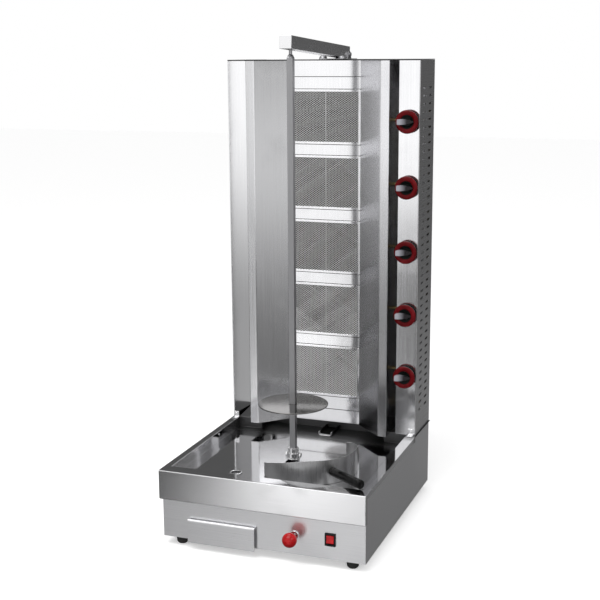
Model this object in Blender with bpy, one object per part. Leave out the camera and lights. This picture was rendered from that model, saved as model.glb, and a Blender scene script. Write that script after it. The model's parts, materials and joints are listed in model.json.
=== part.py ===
"""Vertical rotisserie broiler: a gas kebab grill with five infrared burners.

Metres, +Z up.  The origin is on the floor, under the middle of the whole machine.
-Y is the operator's side, where the drip drawer, the ball knob and the switch are.
"""

import math

import bmesh
import bpy
from mathutils import Matrix, Vector

# ---------------------------------------------------------------- driving dimensions

SHEET = 0.0015              # thickness of every folded sheet
GAP = 0.0004                # air left between two pieces that touch
ROUND = 20                  # sides of a large turned piece
FINE = 16                   # sides of a small turned piece

HALF_WIDTH = 0.260          # half the width of the base and of the tower
BASE_FRONT = -0.280
REAR = 0.309
FOOT_HEIGHT = 0.022
FOOT_X = 0.221
FOOT_FRONT_Y = -0.255
FOOT_REAR_Y = 0.280

RIM_TOP = 0.1953            # top of the deck's rim
DECK_HALF = 0.2635          # the deck laps over the base walls
LIP_FRONT = -0.2936
LIP_BOTTOM = 0.122
FLANGE_DEPTH = 0.012
FLANGE_REAR = 0.150
WELL_FLOOR = 0.167          # the tray's own floor, below the rim
WELL_LEFT = -0.246
WELL_RIGHT = 0.235
WELL_FRONT = -0.255
WELL_SHOULDER = 0.173       # behind this the tray is only as wide as the burner bay
WELL_BACK = 0.239
WELL_BACK_HALF = 0.175

TOWER_FRONT = 0.163
TOWER_LOW = RIM_TOP + GAP
TOWER_TOP = 1.1693
WALL_HIGH = TOWER_TOP - SHEET - GAP

BAY_X = -0.0045             # middle of the burner bay, and of the spit
BURNER_Y = 0.210            # front face of the burner frame
STRIP_Y = 0.133             # front strips of the two reflector wings
STRIP_OUTER = 0.193         # from the bay's middle
STRIP_INNER = 0.170
WING_LOW = 0.1943
WING_BACK = 0.2245          # rear edge of the wings' return flanges

BURNER_COUNT = 5
BURNER_PITCH = 0.171
TOP_BURNER_Z = 1.0225
WINDOW_HALF_WIDTH = 0.089
WINDOW_HALF_HEIGHT = 0.06475
PLAQUE_HALF_WIDTH = 0.0923
PLAQUE_HALF_HEIGHT = 0.066
PLAQUE_FRONT = 0.2120
PLAQUE_BACK = 0.2240

MANIFOLD_Y = 0.245          # the upright gas rail
FEED_Y = 0.236              # the gas pipes run across the tower in this plane
VALVE_FRONT = 0.190

KNOB_X = 0.2305
KNOB_PITCH = 0.165
TOP_KNOB_Z = 1.016
CONTROL_LEFT = 0.2055

SPIT_Y = -0.047
BAR_HALF = 0.0075           # half of the square spit
BAR_HOLE_HALF = 0.0079
SHOULDER_Z = 1.174
NECK_RADIUS = 0.004
NECK_TOP = 1.2145
SOCKET_TOP = 0.203
DISC_Z = 0.3195
DISC_RADIUS = 0.0885

CARRIAGE_BACKWARD = 0.009   # travel of the motor carriage from where it stands
CARRIAGE_FORWARD = 0.025
GEARBOX_HALF = 0.032
ROD_X = 0.0835
ROD_Z = 0.071
ROD_RADIUS = 0.005
LEG_FRONT = -0.112          # the carriage's leg, which the pull rod is clamped to
BALL_Y = -0.312
BALL_RADIUS = 0.018

DRAWER_LEFT = -0.190
DRAWER_RIGHT = -0.015
DRAWER_FACE = -0.2915

SWITCH_X = 0.1735
SWITCH_Z = 0.072
ROCKER_PIVOT_Y = -0.274
ROCKER_TILT = math.radians(7)

GLAND_X = 0.200
GLAND_Z = 0.060

DRAIN = (-0.1095, -0.177)   # middle of the tray's drain hole

SCOOP_CENTRE = Vector((0.053, -0.088, 0))
SCOOP_RADIUS = 0.121
SCOOP_START = math.radians(-137)    # the wall's left end, seen from the middle
SCOOP_TURN = math.radians(14)       # where the wall starts to hook inwards
HOOK_RADIUS = 0.030
HOOK_END = math.radians(105)
SCOOP_TOP = 0.229
SCOOP_FALL = 0.0288                 # drop of the wall's rim at its open end
SCOOP_LEVEL = math.radians(-70)     # where the rim starts to fall
GRIP_START = Vector((0.141, -0.170, 0.198))
GRIP_END = Vector((0.241, -0.260, 0.209))
GRIP_RADIUS = 0.011
TANG_RADIUS = 0.004
TANG_LENGTH = 0.110

ARM_PIVOT = Vector((0.0228, 0.270, 1.1815))
ARM_TURN = math.radians(-4.39)      # seen from above, the arm is a little askew
ARM_SLOPE = math.radians(-3.9)      # its front end is the higher one
ARM_HALF = 0.0155
ARM_BELOW = 0.0099                  # pivot to the arm's underside
ARM_FRONT = -0.355
ARM_REAR = 0.0098

INLET_END = 0.330
INLET_Z = 0.236


# ---------------------------------------------------------------- materials

def material(name, colour, roughness, metallic):
    """A Principled material of one colour."""
    made = bpy.data.materials.new(name)
    made.use_nodes = True
    shader = made.node_tree.nodes["Principled BSDF"]
    shader.inputs["Base Color"].default_value = (*colour, 1.0)
    shader.inputs["Roughness"].default_value = roughness
    shader.inputs["Metallic"].default_value = metallic
    return made


# ---------------------------------------------------------------- solids

def spot(axis, u, v, level):
    """A point given across an axis (u, v) and along it (level)."""
    return {"X": (level, u, v), "Y": (u, level, v), "Z": (u, v, level)}[axis]


def add_loop(bm, outline, axis, level):
    """A closed loop of edges through the outline's points."""
    verts = [bm.verts.new(spot(axis, u, v, level)) for u, v in outline]
    return [bm.edges.new(pair) for pair in zip(verts, verts[1:] + verts[:1])]


def push_edges(bm, edges, move):
    """Extrude edges into walls, and give the edges at the far side."""
    made = bmesh.ops.extrude_edge_only(bm, edges=edges)["geom"]
    verts = [item for item in made if isinstance(item, bmesh.types.BMVert)]
    bmesh.ops.translate(bm, verts=verts, vec=move)
    return [item for item in made if isinstance(item, bmesh.types.BMEdge)]


def plate(outline, holes, low, high, axis):
    """A flat sheet with holes, lying across the axis."""
    bm = bmesh.new()
    loops = [add_loop(bm, points, axis, low) for points in [outline, *holes]]
    edges = [edge for loop in loops for edge in loop]
    bmesh.ops.triangle_fill(bm, use_beauty=True, edges=edges)
    made = bmesh.ops.extrude_face_region(bm, geom=bm.faces[:], use_keep_orig=True)["geom"]
    verts = [item for item in made if isinstance(item, bmesh.types.BMVert)]
    bmesh.ops.translate(bm, verts=verts, vec=spot(axis, 0, 0, high - low))
    bmesh.ops.recalc_face_normals(bm, faces=bm.faces)
    return bm


def prism(outline, low, high, axis):
    """A solid of one outline, drawn across the axis."""
    bm = bmesh.new()
    edges = add_loop(bm, outline, axis, low)
    base = bm.faces.new([edge.verts[0] for edge in edges])
    made = bmesh.ops.extrude_face_region(bm, geom=[base], use_keep_orig=True)["geom"]
    verts = [item for item in made if isinstance(item, bmesh.types.BMVert)]
    bmesh.ops.translate(bm, verts=verts, vec=spot(axis, 0, 0, high - low))
    bmesh.ops.recalc_face_normals(bm, faces=bm.faces)
    return bm


def box(low, high):
    """A block between two corners."""
    bm = bmesh.new()
    bmesh.ops.create_cube(bm, size=1.0)
    size = Vector(high) - Vector(low)
    middle = (Vector(high) + Vector(low)) / 2
    bmesh.ops.transform(bm, matrix=Matrix.Translation(middle) @ Matrix.Diagonal((*size, 1)), verts=bm.verts)
    return bm


def turned(profile, foot, axis, sides):
    """A turned piece.

    The profile is a list of (radius, height) along the axis, from the foot.  It starts
    and ends at radius 0, or it is closed into a ring when it doesn't touch the axis.
    """
    bm = bmesh.new()
    verts = [bm.verts.new((radius, 0, height)) for radius, height in profile]
    pairs = list(zip(verts, verts[1:]))
    if profile[0][0] > 0:
        pairs.append((verts[-1], verts[0]))
    edges = [bm.edges.new(pair) for pair in pairs]
    bmesh.ops.spin(bm, geom=verts + edges, cent=(0, 0, 0), axis=(0, 0, 1),
                   angle=math.tau, steps=sides, use_merge=True)
    bmesh.ops.remove_doubles(bm, verts=bm.verts, dist=1e-6)
    turn = Vector(axis).to_track_quat("Z", "Y").to_matrix().to_4x4()
    bmesh.ops.transform(bm, matrix=Matrix.Translation(foot) @ turn, verts=bm.verts)
    bmesh.ops.recalc_face_normals(bm, faces=bm.faces)
    return bm


def rod(radius, start, end, sides):
    """A plain round rod between two points."""
    start = Vector(start)
    run = Vector(end) - start
    return turned([(0, 0), (radius, 0), (radius, run.length), (0, run.length)], start, run, sides)


def rectangle(u_low, v_low, u_high, v_high):
    """The four corners of an upright rectangle."""
    return [(u_low, v_low), (u_high, v_low), (u_high, v_high), (u_low, v_high)]


def arc(centre, radius, start, end, steps):
    """Points on an arc, both ends included, with the angles in radians."""
    angles = [start + (end - start) * step / steps for step in range(steps + 1)]
    return [(centre[0] + radius * math.cos(a), centre[1] + radius * math.sin(a)) for a in angles]


def circle(centre, radius, sides):
    """Points round a full circle."""
    return arc(centre, radius, 0, math.tau * (sides - 1) / sides, sides - 1)


def folded(points, thickness):
    """The closed outline of a folded sheet that has one face along the points.

    A positive thickness lies to the left of the way the points go.
    """
    points = [Vector(point) for point in points]
    steps = [(b - a).normalized() for a, b in zip(points, points[1:])]
    sides = [Vector((-step.y, step.x)) for step in steps]
    back = []
    for index, point in enumerate(points):
        before = sides[max(index - 1, 0)]
        after = sides[min(index, len(sides) - 1)]
        middle = (before + after).normalized()
        back.append(point + middle * (thickness / middle.dot(before)))
    return [tuple(point) for point in points] + [tuple(point) for point in reversed(back)]


# ---------------------------------------------------------------- objects

def make(name, bm, finish, smooth=False):
    """Turn a bmesh into a named object with its material."""
    mesh = bpy.data.meshes.new(name)
    bm.to_mesh(mesh)
    bm.free()
    mesh.materials.append(finish)
    if smooth:
        mesh.shade_smooth()
        mesh.set_sharp_from_angle(angle=math.radians(35))
    made = bpy.data.objects.new(name, mesh)
    bpy.context.scene.collection.objects.link(made)
    return made


def combine(target, tool_bm, operation):
    """Cut a solid out of the object, or weld one onto it, and keep the result."""
    tool = make("tool", tool_bm, target.data.materials[0])
    change = target.modifiers.new(operation, "BOOLEAN")
    change.operation = operation
    change.object = tool
    graph = bpy.context.evaluated_depsgraph_get()
    mesh = bpy.data.meshes.new_from_object(target.evaluated_get(graph))
    target.modifiers.clear()
    target.data = mesh
    mesh.name = target.name
    bpy.data.objects.remove(tool)


def cut(target, *tools):
    """Cut each tool's solid out of the object."""
    for tool in tools:
        combine(target, tool, "DIFFERENCE")


def weld(target, *tools):
    """Join each tool's solid onto the object."""
    for tool in tools:
        combine(target, tool, "UNION")


def pivot(name, place, parent, pieces):
    """An empty on a joint's axis, with the pieces that move about it."""
    empty = bpy.data.objects.new(name, None)
    empty.empty_display_size = 0.03
    bpy.context.scene.collection.objects.link(empty)
    empty.parent = parent
    empty.location = Vector(place) - parent_place(parent)
    for piece in pieces:
        piece.data.transform(Matrix.Translation(-Vector(place)))
        piece.parent = empty
    return empty


def parent_place(parent):
    """Where a chain of unrotated empties has its last origin."""
    place = Vector((0, 0, 0))
    while parent is not None:
        place += parent.location
        parent = parent.parent
    return place


def clear_scene():
    """Remove what the file held before."""
    for item in list(bpy.data.objects):
        bpy.data.objects.remove(item)


# ---------------------------------------------------------------- base

def base_shell(steel):
    """The four walls of the base, with the openings for what passes through them."""
    inner = rectangle(-HALF_WIDTH + SHEET, BASE_FRONT + SHEET, HALF_WIDTH - SHEET, REAR - SHEET)
    outer = rectangle(-HALF_WIDTH, BASE_FRONT, HALF_WIDTH, REAR)
    shell = make("base_shell", plate(outer, [inner], FOOT_HEIGHT, RIM_TOP - SHEET - GAP, "Z"), steel)
    through = 0.02
    drawer_hole = box((DRAWER_LEFT + 0.004, BASE_FRONT - through, FOOT_HEIGHT - 0.002),
                      (DRAWER_RIGHT - 0.004, BASE_FRONT + through, 0.0765))
    rod_hole = rod(0.0085, (ROD_X, BASE_FRONT - through, ROD_Z), (ROD_X, BASE_FRONT + through, ROD_Z), FINE)
    switch_hole = box((SWITCH_X - 0.011, BASE_FRONT - through, SWITCH_Z - 0.0135),
                      (SWITCH_X + 0.011, BASE_FRONT + through, SWITCH_Z + 0.0135))
    gland_hole = rod(0.0105, (GLAND_X, REAR - through, GLAND_Z), (GLAND_X, REAR + through, GLAND_Z), FINE)
    cut(shell, drawer_hole, rod_hole, switch_hole, gland_hole)


def base_bottom(steel):
    """The floor plate of the base, drilled for the feet."""
    inset = SHEET + GAP
    outline = rectangle(-HALF_WIDTH + inset, BASE_FRONT + inset, HALF_WIDTH - inset, REAR - inset)
    holes = [circle((x, y), 0.0048, FINE) for x in (-FOOT_X, FOOT_X) for y in (FOOT_FRONT_Y, FOOT_REAR_Y)]
    make("base_bottom", plate(outline, holes, 0.0225, 0.0240, "Z"), steel)


def feet(rubber):
    """Four rubber feet, each with the stud that holds it."""
    profile = [(0, 0), (0.0105, 0), (0.0140, 0.0040), (0.0150, 0.0120), (0.0150, 0.0217),
               (0.0042, 0.0217), (0.0042, 0.0300), (0, 0.0300)]
    for end, y in (("front", FOOT_FRONT_Y), ("rear", FOOT_REAR_Y)):
        for side, x in (("left", -FOOT_X), ("right", FOOT_X)):
            make(f"foot_{end}_{side}", turned(profile, (x, y, 0), (0, 0, 1), FINE), rubber, smooth=True)


def deck_tray(steel):
    """The deck: rim, front lip, side flanges and the sunken tray, folded from one sheet."""
    bm = bmesh.new()
    lip_back = BASE_FRONT - GAP
    outer = add_loop(bm, [(-DECK_HALF, LIP_FRONT), (DECK_HALF, LIP_FRONT), (DECK_HALF, lip_back),
                          (DECK_HALF, FLANGE_REAR), (DECK_HALF, REAR), (-DECK_HALF, REAR),
                          (-DECK_HALF, FLANGE_REAR), (-DECK_HALF, lip_back)], "Z", RIM_TOP)
    back_left = BAY_X - WELL_BACK_HALF
    back_right = BAY_X + WELL_BACK_HALF
    well = add_loop(bm, [(WELL_LEFT, WELL_FRONT), (WELL_RIGHT, WELL_FRONT), (WELL_RIGHT, WELL_SHOULDER),
                         (back_right, WELL_SHOULDER), (back_right, WELL_BACK), (back_left, WELL_BACK),
                         (back_left, WELL_SHOULDER), (WELL_LEFT, WELL_SHOULDER)], "Z", RIM_TOP)
    bmesh.ops.triangle_fill(bm, use_beauty=True, edges=outer + well)
    floor_edge = push_edges(bm, well, (0, 0, WELL_FLOOR - RIM_TOP))

    slot_half = 0.013
    slot_front = SPIT_Y - CARRIAGE_FORWARD
    slot_back = SPIT_Y + CARRIAGE_BACKWARD
    slot = arc((BAY_X, slot_back), slot_half, 0, math.pi, 8)
    slot += arc((BAY_X, slot_front), slot_half, math.pi, math.tau, 8)
    slot_edge = add_loop(bm, slot, "Z", WELL_FLOOR)
    drain_edge = add_loop(bm, circle(DRAIN, 0.0134, FINE), "Z", WELL_FLOOR)
    bmesh.ops.triangle_fill(bm, use_beauty=True, edges=floor_edge + slot_edge + drain_edge)
    curb_height = 0.005
    push_edges(bm, slot_edge, (0, 0, curb_height))

    front, end_right, flange_right = outer[0], outer[1], outer[2]
    flange_left, end_left = outer[6], outer[7]
    skirt = push_edges(bm, [front, end_right, flange_right, flange_left, end_left], (0, 0, -FLANGE_DEPTH))
    lip = [edge for edge in skirt if max(vert.co.y for vert in edge.verts) < lip_back + GAP]
    lip_edge = push_edges(bm, lip, (0, 0, LIP_BOTTOM - RIM_TOP + FLANGE_DEPTH))
    lowest = {vert for edge in lip_edge for vert in edge.verts}
    under = sorted(lowest, key=lambda vert: math.atan2(vert.co.y - (LIP_FRONT + lip_back) / 2, vert.co.x))
    bm.faces.new(under)

    bmesh.ops.recalc_face_normals(bm, faces=bm.faces)
    top = max(bm.faces, key=lambda face: face.calc_center_median().z)
    if top.normal.z < 0:
        bmesh.ops.reverse_faces(bm, faces=bm.faces)
    deck = make("deck_tray", bm, steel)
    sheet = deck.modifiers.new("sheet", "SOLIDIFY")
    sheet.thickness = SHEET
    sheet.offset = -1
    sheet.use_even_offset = True
    sheet.use_quality_normals = True


def drain_strainer(steel):
    """The strainer in the tray's drain hole, with the pipe that drips into the drawer."""
    outer = 0.0128
    inner = 0.0113
    top = 0.1688
    profile = [(0, 0.0740), (inner, 0.0740), (inner, top - 0.088), (0.0165, top - 0.088),
               (0.0165, top - 0.0893), (outer, top - 0.0893), (outer, 0), (inner, 0),
               (inner, 0.0725), (0, 0.0725)]
    strainer = make("drain_strainer", turned(profile, (*DRAIN, 0.088), (0, 0, 1), ROUND), steel, smooth=True)
    spots = [(0, 0)] + circle((0, 0), 0.0068, 6)
    for x, y in spots:
        low = Vector((DRAIN[0] + x, DRAIN[1] + y, 0.155))
        cut(strainer, rod(0.0021, low, low + Vector((0, 0, 0.012)), 8))


def drip_drawer(steel):
    """The drip drawer: an open box on a front plate whose top edge is rolled for the fingers."""
    roll = 0.005
    roll_z = 0.073
    edge = [(DRAWER_FACE, 0.0175)] + arc((DRAWER_FACE + roll, roll_z), roll, math.pi, -math.pi / 2, 9)
    drawer = make("drip_drawer", prism(folded(edge, -SHEET), DRAWER_LEFT, DRAWER_RIGHT, "X"), steel)
    front = DRAWER_FACE + SHEET
    low = Vector((DRAWER_LEFT + 0.007, front - 0.0005, 0.0260))
    high = Vector((DRAWER_RIGHT - 0.007, -0.120, 0.0640))
    tray = make("tray", box(low, high), steel)
    inside_low = (low.x + SHEET, front, low.z + SHEET)
    inside_high = (high.x - SHEET, high.y - SHEET, high.z + 0.01)
    cut(tray, box(inside_low, inside_high))
    tray_bm = bmesh.new()
    tray_bm.from_mesh(tray.data)
    bpy.data.objects.remove(tray)
    weld(drawer, tray_bm)
    return drawer


def grease_chute(steel):
    """The short open trough under the burner frame, fixed to the tray's back wall."""
    low, high, left, right = 0.1675, 0.1780, -0.011, 0.025
    bend = 0.005
    edge = [(left, high)]
    edge += arc((left + bend, low + bend), bend, math.pi, 1.5 * math.pi, 4)
    edge += arc((right - bend, low + bend), bend, 1.5 * math.pi, math.tau, 4)
    edge += [(right, high)]
    make("grease_chute", prism(folded(edge, SHEET), 0.165, WELL_BACK - GAP, "Y"), steel)


# ---------------------------------------------------------------- motor carriage

def carriage_guide(steel):
    """The channel under the tray that the motor's carriage slides in."""
    left, right, low, high = BAY_X - 0.085, BAY_X + 0.085, 0.1500, WELL_FLOOR - SHEET - GAP
    lip = 0.014
    edge = [(left + lip, low), (left, low), (left, high), (right, high), (right, low), (right - lip, low)]
    guide = make("carriage_guide", prism(folded(edge, -SHEET), -0.140, 0.060, "Y"), steel)
    window = box((BAY_X - 0.016, SPIT_Y - CARRIAGE_FORWARD - 0.014, high - 0.01),
                 (BAY_X + 0.016, SPIT_Y + CARRIAGE_BACKWARD + 0.014, high + 0.01))
    cut(guide, window)


def carriage_plate(steel):
    """The sliding plate that carries the gear motor, with the leg that the pull rod holds."""
    low, high = 0.1519, 0.1559
    outline = rectangle(BAY_X - 0.083, -0.110, BAY_X + 0.083, 0.020)
    hole = circle((BAY_X, SPIT_Y), 0.0202, ROUND)
    carriage = make("carriage_plate", plate(outline, [hole], low, high, "Z"), steel)
    leg = [(0.020, high), (0.062, high), (0.062, 0.146), (0.098, 0.146), (0.098, 0.058), (0.070, 0.058),
           (0.020, 0.110)]
    weld(carriage, prism(leg, LEG_FRONT, LEG_FRONT + 0.003, "Y"))
    cut(carriage, rod(ROD_RADIUS + GAP, (ROD_X, -0.13, ROD_Z), (ROD_X, -0.10, ROD_Z), FINE))
    return carriage


def gearbox(iron):
    """The worm gearbox that hangs under the carriage plate."""
    low = (BAY_X - GEARBOX_HALF, SPIT_Y - GEARBOX_HALF, 0.095)
    high = (BAY_X + GEARBOX_HALF, SPIT_Y + GEARBOX_HALF, 0.1515)
    case = make("gearbox", box(low, high), iron)
    weld(case, rod(0.0195, (BAY_X, SPIT_Y, 0.150), (BAY_X, SPIT_Y, 0.160), ROUND))
    cut(case, rod(0.0088, (BAY_X, SPIT_Y, 0.110), (BAY_X, SPIT_Y, 0.170), FINE))
    return case


def gear_motor(iron):
    """The motor, lying on its side against the gearbox."""
    start = (BAY_X + GEARBOX_HALF + GAP, SPIT_Y, 0.122)
    profile = [(0, 0), (0.022, 0), (0.022, 0.006), (0.026, 0.008), (0.026, 0.078), (0.020, 0.084),
               (0.008, 0.084), (0.008, 0.090), (0, 0.090)]
    return make("gear_motor", turned(profile, start, (1, 0, 0), ROUND), iron, smooth=True)


def slide_rod(steel):
    """The pull rod, with the collar and the nut that clamp the carriage's leg."""
    front = -0.305
    collar = 0.009
    leg = LEG_FRONT - front
    profile = [(0, 0), (ROD_RADIUS, 0), (ROD_RADIUS, leg - 0.0045), (collar, leg - 0.0045),
               (collar, leg - 0.0005), (ROD_RADIUS, leg - 0.0005), (ROD_RADIUS, leg + 0.0035),
               (collar, leg + 0.0035), (collar, leg + 0.0105), (ROD_RADIUS, leg + 0.0105),
               (ROD_RADIUS, leg + 0.0155), (0, leg + 0.0155)]
    return make("slide_rod", turned(profile, (ROD_X, front, ROD_Z), (0, 1, 0), FINE), steel, smooth=True)


def rod_bush(brass):
    """The flanged bush in the front wall that the pull rod slides through."""
    start = -0.2835
    bore = 0.0056
    profile = [(bore, 0), (0.0110, 0), (0.0110, 0.0032), (0.0078, 0.0032), (0.0078, 0.0155), (bore, 0.0155)]
    make("rod_bush", turned(profile, (ROD_X, start, ROD_Z), (0, 1, 0), FINE), brass, smooth=True)


def ball_knob(red):
    """The ball on the end of the pull rod."""
    bore = ROD_RADIUS + GAP
    bore_end = 0.0060
    edge = math.acos(bore / BALL_RADIUS)
    ball = arc((0, 0), BALL_RADIUS, -math.pi / 2, edge, 10)
    profile = [(0, -BALL_RADIUS), *ball[1:], (bore, bore_end), (0, bore_end)]
    return make("ball_knob", turned(profile, (ROD_X, BALL_Y, ROD_Z), (0, 1, 0), ROUND), red, smooth=True)


# ---------------------------------------------------------------- switch and gland

def switch_housing(black):
    """The switch's case and bezel, pushed into the front wall."""
    def block(half_width, half_height, front, back):
        return box((SWITCH_X - half_width, front, SWITCH_Z - half_height),
                   (SWITCH_X + half_width, back, SWITCH_Z + half_height))
    case = make("switch_housing", block(0.0135, 0.016, -0.2825, -0.2803), black)
    weld(case, block(0.0105, 0.013, -0.2810, -0.2520))
    cut(case, block(0.0094, 0.0115, -0.2900, -0.2620))


def switch_rocker(red):
    """The rocker, drawn level and then tipped to its off side."""
    outline = [(-0.0110, -0.0092), (-0.0090, 0), (-0.0110, 0.0092), (0.0040, 0.0092), (0.0040, -0.0092)]
    bm = prism(outline, -0.0090, 0.0090, "X")
    tip = Matrix.Translation((SWITCH_X, ROCKER_PIVOT_Y, SWITCH_Z)) @ Matrix.Rotation(-ROCKER_TILT, 4, "X")
    bmesh.ops.transform(bm, matrix=tip, verts=bm.verts)
    return make("switch_rocker", bm, red)


def cable_gland(black):
    """The gland in the rear wall where the mains lead would come in."""
    start = 0.300
    profile = [(0.0050, 0), (0.0098, 0), (0.0098, 0.0093), (0.0140, 0.0093), (0.0140, 0.0170),
               (0.0110, 0.0190), (0.0095, 0.0250), (0.0050, 0.0260)]
    make("cable_gland", turned(profile, (GLAND_X, start, GLAND_Z), (0, 1, 0), FINE), black, smooth=True)


# ---------------------------------------------------------------- spit

def spit_socket(steel):
    """The driven socket that holds the spit, with its shaft going down into the gearbox."""
    low = 0.112
    profile = [(0, 0), (0.008, 0), (0.008, 0.1745 - low), (0.0185, 0.1745 - low), (0.0185, 0.1760 - low),
               (0.0155, 0.1775 - low), (0.0155, 0.1900 - low), (0.0133, 0.1915 - low),
               (0.0133, SOCKET_TOP - low), (0, SOCKET_TOP - low)]
    socket = make("spit_socket", turned(profile, (BAY_X, SPIT_Y, low), (0, 0, 1), ROUND), steel, smooth=True)
    cut(socket, box((BAY_X - BAR_HOLE_HALF, SPIT_Y - BAR_HOLE_HALF, 0.1795),
                    (BAY_X + BAR_HOLE_HALF, SPIT_Y + BAR_HOLE_HALF, SOCKET_TOP + 0.01)))
    cut(socket, rod(0.0034, (BAY_X - 0.03, SPIT_Y, 0.1838), (BAY_X + 0.03, SPIT_Y, 0.1838), FINE))
    return socket


def clamp_screws(steel):
    """The two hexagon screws that clamp the spit in its socket."""
    made = []
    profile = [(0, 0), (0.003, 0), (0.003, 0.0082), (0.0065, 0.0082), (0.0065, 0.0126), (0, 0.0126)]
    for side, way in (("left", -1), ("right", 1)):
        tip = (BAY_X + way * (BAR_HALF + GAP), SPIT_Y, 0.1838)
        made.append(make(f"clamp_screw_{side}", turned(profile, tip, (way, 0, 0), 6), steel))
    return made


def spit_shaft(steel):
    """The square spit, with its tapered shoulder and the round neck on top."""
    low = 0.1800
    bar = box((BAY_X - BAR_HALF, SPIT_Y - BAR_HALF, low), (BAY_X + BAR_HALF, SPIT_Y + BAR_HALF, SHOULDER_Z))
    top = [face for face in bar.faces if face.normal.z > 0.9]
    made = bmesh.ops.extrude_face_region(bar, geom=top)["geom"]
    verts = [item for item in made if isinstance(item, bmesh.types.BMVert)]
    bmesh.ops.delete(bar, geom=top, context="FACES_ONLY")
    shrink = Matrix.Translation((BAY_X, SPIT_Y, 0)) @ Matrix.Diagonal((0.6, 0.6, 1, 1))
    shrink = shrink @ Matrix.Translation((-BAY_X, -SPIT_Y, 0.008))
    bmesh.ops.transform(bar, matrix=shrink, verts=verts)
    shaft = make("spit_shaft", bar, steel)
    weld(shaft, rod(NECK_RADIUS, (BAY_X, SPIT_Y, SHOULDER_Z + 0.004), (BAY_X, SPIT_Y, NECK_TOP), FINE))
    return shaft


def meat_disc(steel):
    """The disc that the meat is stacked on, with its hub round the spit."""
    hub_low = 0.2945
    under = DISC_Z - 0.003
    profile = [(0, 0), (0.014, 0), (0.014, under - hub_low), (DISC_RADIUS, under - hub_low),
               (DISC_RADIUS, DISC_Z - hub_low), (0, DISC_Z - hub_low)]
    disc = make("meat_disc", turned(profile, (BAY_X, SPIT_Y, hub_low), (0, 0, 1), 48), steel, smooth=True)
    cut(disc, box((BAY_X - BAR_HOLE_HALF, SPIT_Y - BAR_HOLE_HALF, hub_low - 0.01),
                  (BAY_X + BAR_HOLE_HALF, SPIT_Y + BAR_HOLE_HALF, DISC_Z + 0.01)))
    return disc


# ---------------------------------------------------------------- meat scoop

def scoop_height(x, y):
    """How high the scoop's wall stands there: level, then falling away to its open end."""
    angle = math.atan2(y - SCOOP_CENTRE.y, x - SCOOP_CENTRE.x)
    share = max((SCOOP_LEVEL - angle) / (SCOOP_LEVEL - SCOOP_START), 0)
    return SCOOP_TOP - SCOOP_FALL * share ** 1.4


def scoop_pan(steel):
    """The meat scoop: a flat floor with a wall that hooks in at one end, and its handle's tang."""
    floor = WELL_FLOOR + GAP
    inwards = SCOOP_RADIUS - HOOK_RADIUS
    hook_centre = SCOOP_CENTRE.xy + inwards * Vector((math.cos(SCOOP_TURN), math.sin(SCOOP_TURN)))
    outline = arc(SCOOP_CENTRE.xy, SCOOP_RADIUS, SCOOP_START, SCOOP_TURN, 26)
    outline += arc(hook_centre, HOOK_RADIUS, SCOOP_TURN, HOOK_END, 6)[1:]
    bm = bmesh.new()
    edges = add_loop(bm, outline, "Z", floor)
    bm.faces.new([edge.verts[0] for edge in edges])
    rim = push_edges(bm, edges[:-1], (0, 0, SCOOP_TOP - floor))
    for vert in {vert for edge in rim for vert in edge.verts}:
        vert.co.z = scoop_height(vert.co.x, vert.co.y)
    bmesh.ops.recalc_face_normals(bm, faces=bm.faces)
    lowest = min(bm.faces, key=lambda face: face.calc_center_median().z)
    if lowest.normal.z > 0:
        bmesh.ops.reverse_faces(bm, faces=bm.faces)
    shaped = make("shaped", bm, steel)
    sheet = shaped.modifiers.new("sheet", "SOLIDIFY")
    sheet.thickness = SHEET
    sheet.offset = -1
    sheet.use_even_offset = True
    sheet.use_quality_normals = True
    graph = bpy.context.evaluated_depsgraph_get()
    solid = bmesh.new()
    solid.from_mesh(shaped.evaluated_get(graph).data)
    bpy.data.objects.remove(shaped)
    pan = make("scoop_pan", solid, steel, smooth=True)
    along = (GRIP_END - GRIP_START).normalized()
    weld(pan, rod(TANG_RADIUS, GRIP_START, GRIP_START + along * TANG_LENGTH, 12))
    return pan


def scoop_grip(black):
    """The round handle, bored for the tang."""
    along = (GRIP_END - GRIP_START).normalized()
    start = GRIP_START + along * 0.0025
    length = (GRIP_END - start).length
    bore = TANG_RADIUS + 0.0005
    bore_end = TANG_LENGTH - 0.0005
    corner = 0.003
    profile = [(0, bore_end), (bore, bore_end), (bore, 0), (GRIP_RADIUS - 0.001, 0), (GRIP_RADIUS, 0.001)]
    profile += arc((GRIP_RADIUS - corner, length - corner), corner, 0, math.pi / 2, 4)
    profile += [(0, length)]
    return make("scoop_grip", turned(profile, start, along, FINE), black, smooth=True)


# ---------------------------------------------------------------- top arm

def arm_frame():
    """The arm's own frame: the origin on its pivot, -Y along the arm to its front end."""
    turn = Matrix.Rotation(ARM_TURN, 4, "Z") @ Matrix.Rotation(ARM_SLOPE, 4, "X")
    return Matrix.Translation(ARM_PIVOT) @ turn


def top_arm(steel):
    """The square tube that reaches over the spit, slotted underneath for the spit's neck."""
    top = 2 * ARM_HALF - ARM_BELOW
    outer = rectangle(-ARM_HALF, -ARM_BELOW, ARM_HALF, top)
    inner = rectangle(-ARM_HALF + SHEET, -ARM_BELOW + SHEET, ARM_HALF - SHEET, top - SHEET)
    arm = make("top_arm", plate(outer, [inner], ARM_FRONT + 0.002, ARM_REAR, "Y"), steel)
    heel = [(0.02, -0.02), (0.02, 0)] + arc((0, 0), ARM_BELOW, 0, -math.pi / 2, 8) + [(0, -0.02)]
    cut(arm, prism(heel, -0.03, 0.03, "X"))
    cut(arm, rod(0.0034, (-0.03, 0, 0), (0.03, 0, 0), FINE))
    cut(arm, box((-0.010, -0.3485, -0.02), (0.005, -0.300, -0.005)))
    arm.data.transform(arm_frame())
    return arm


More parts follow.
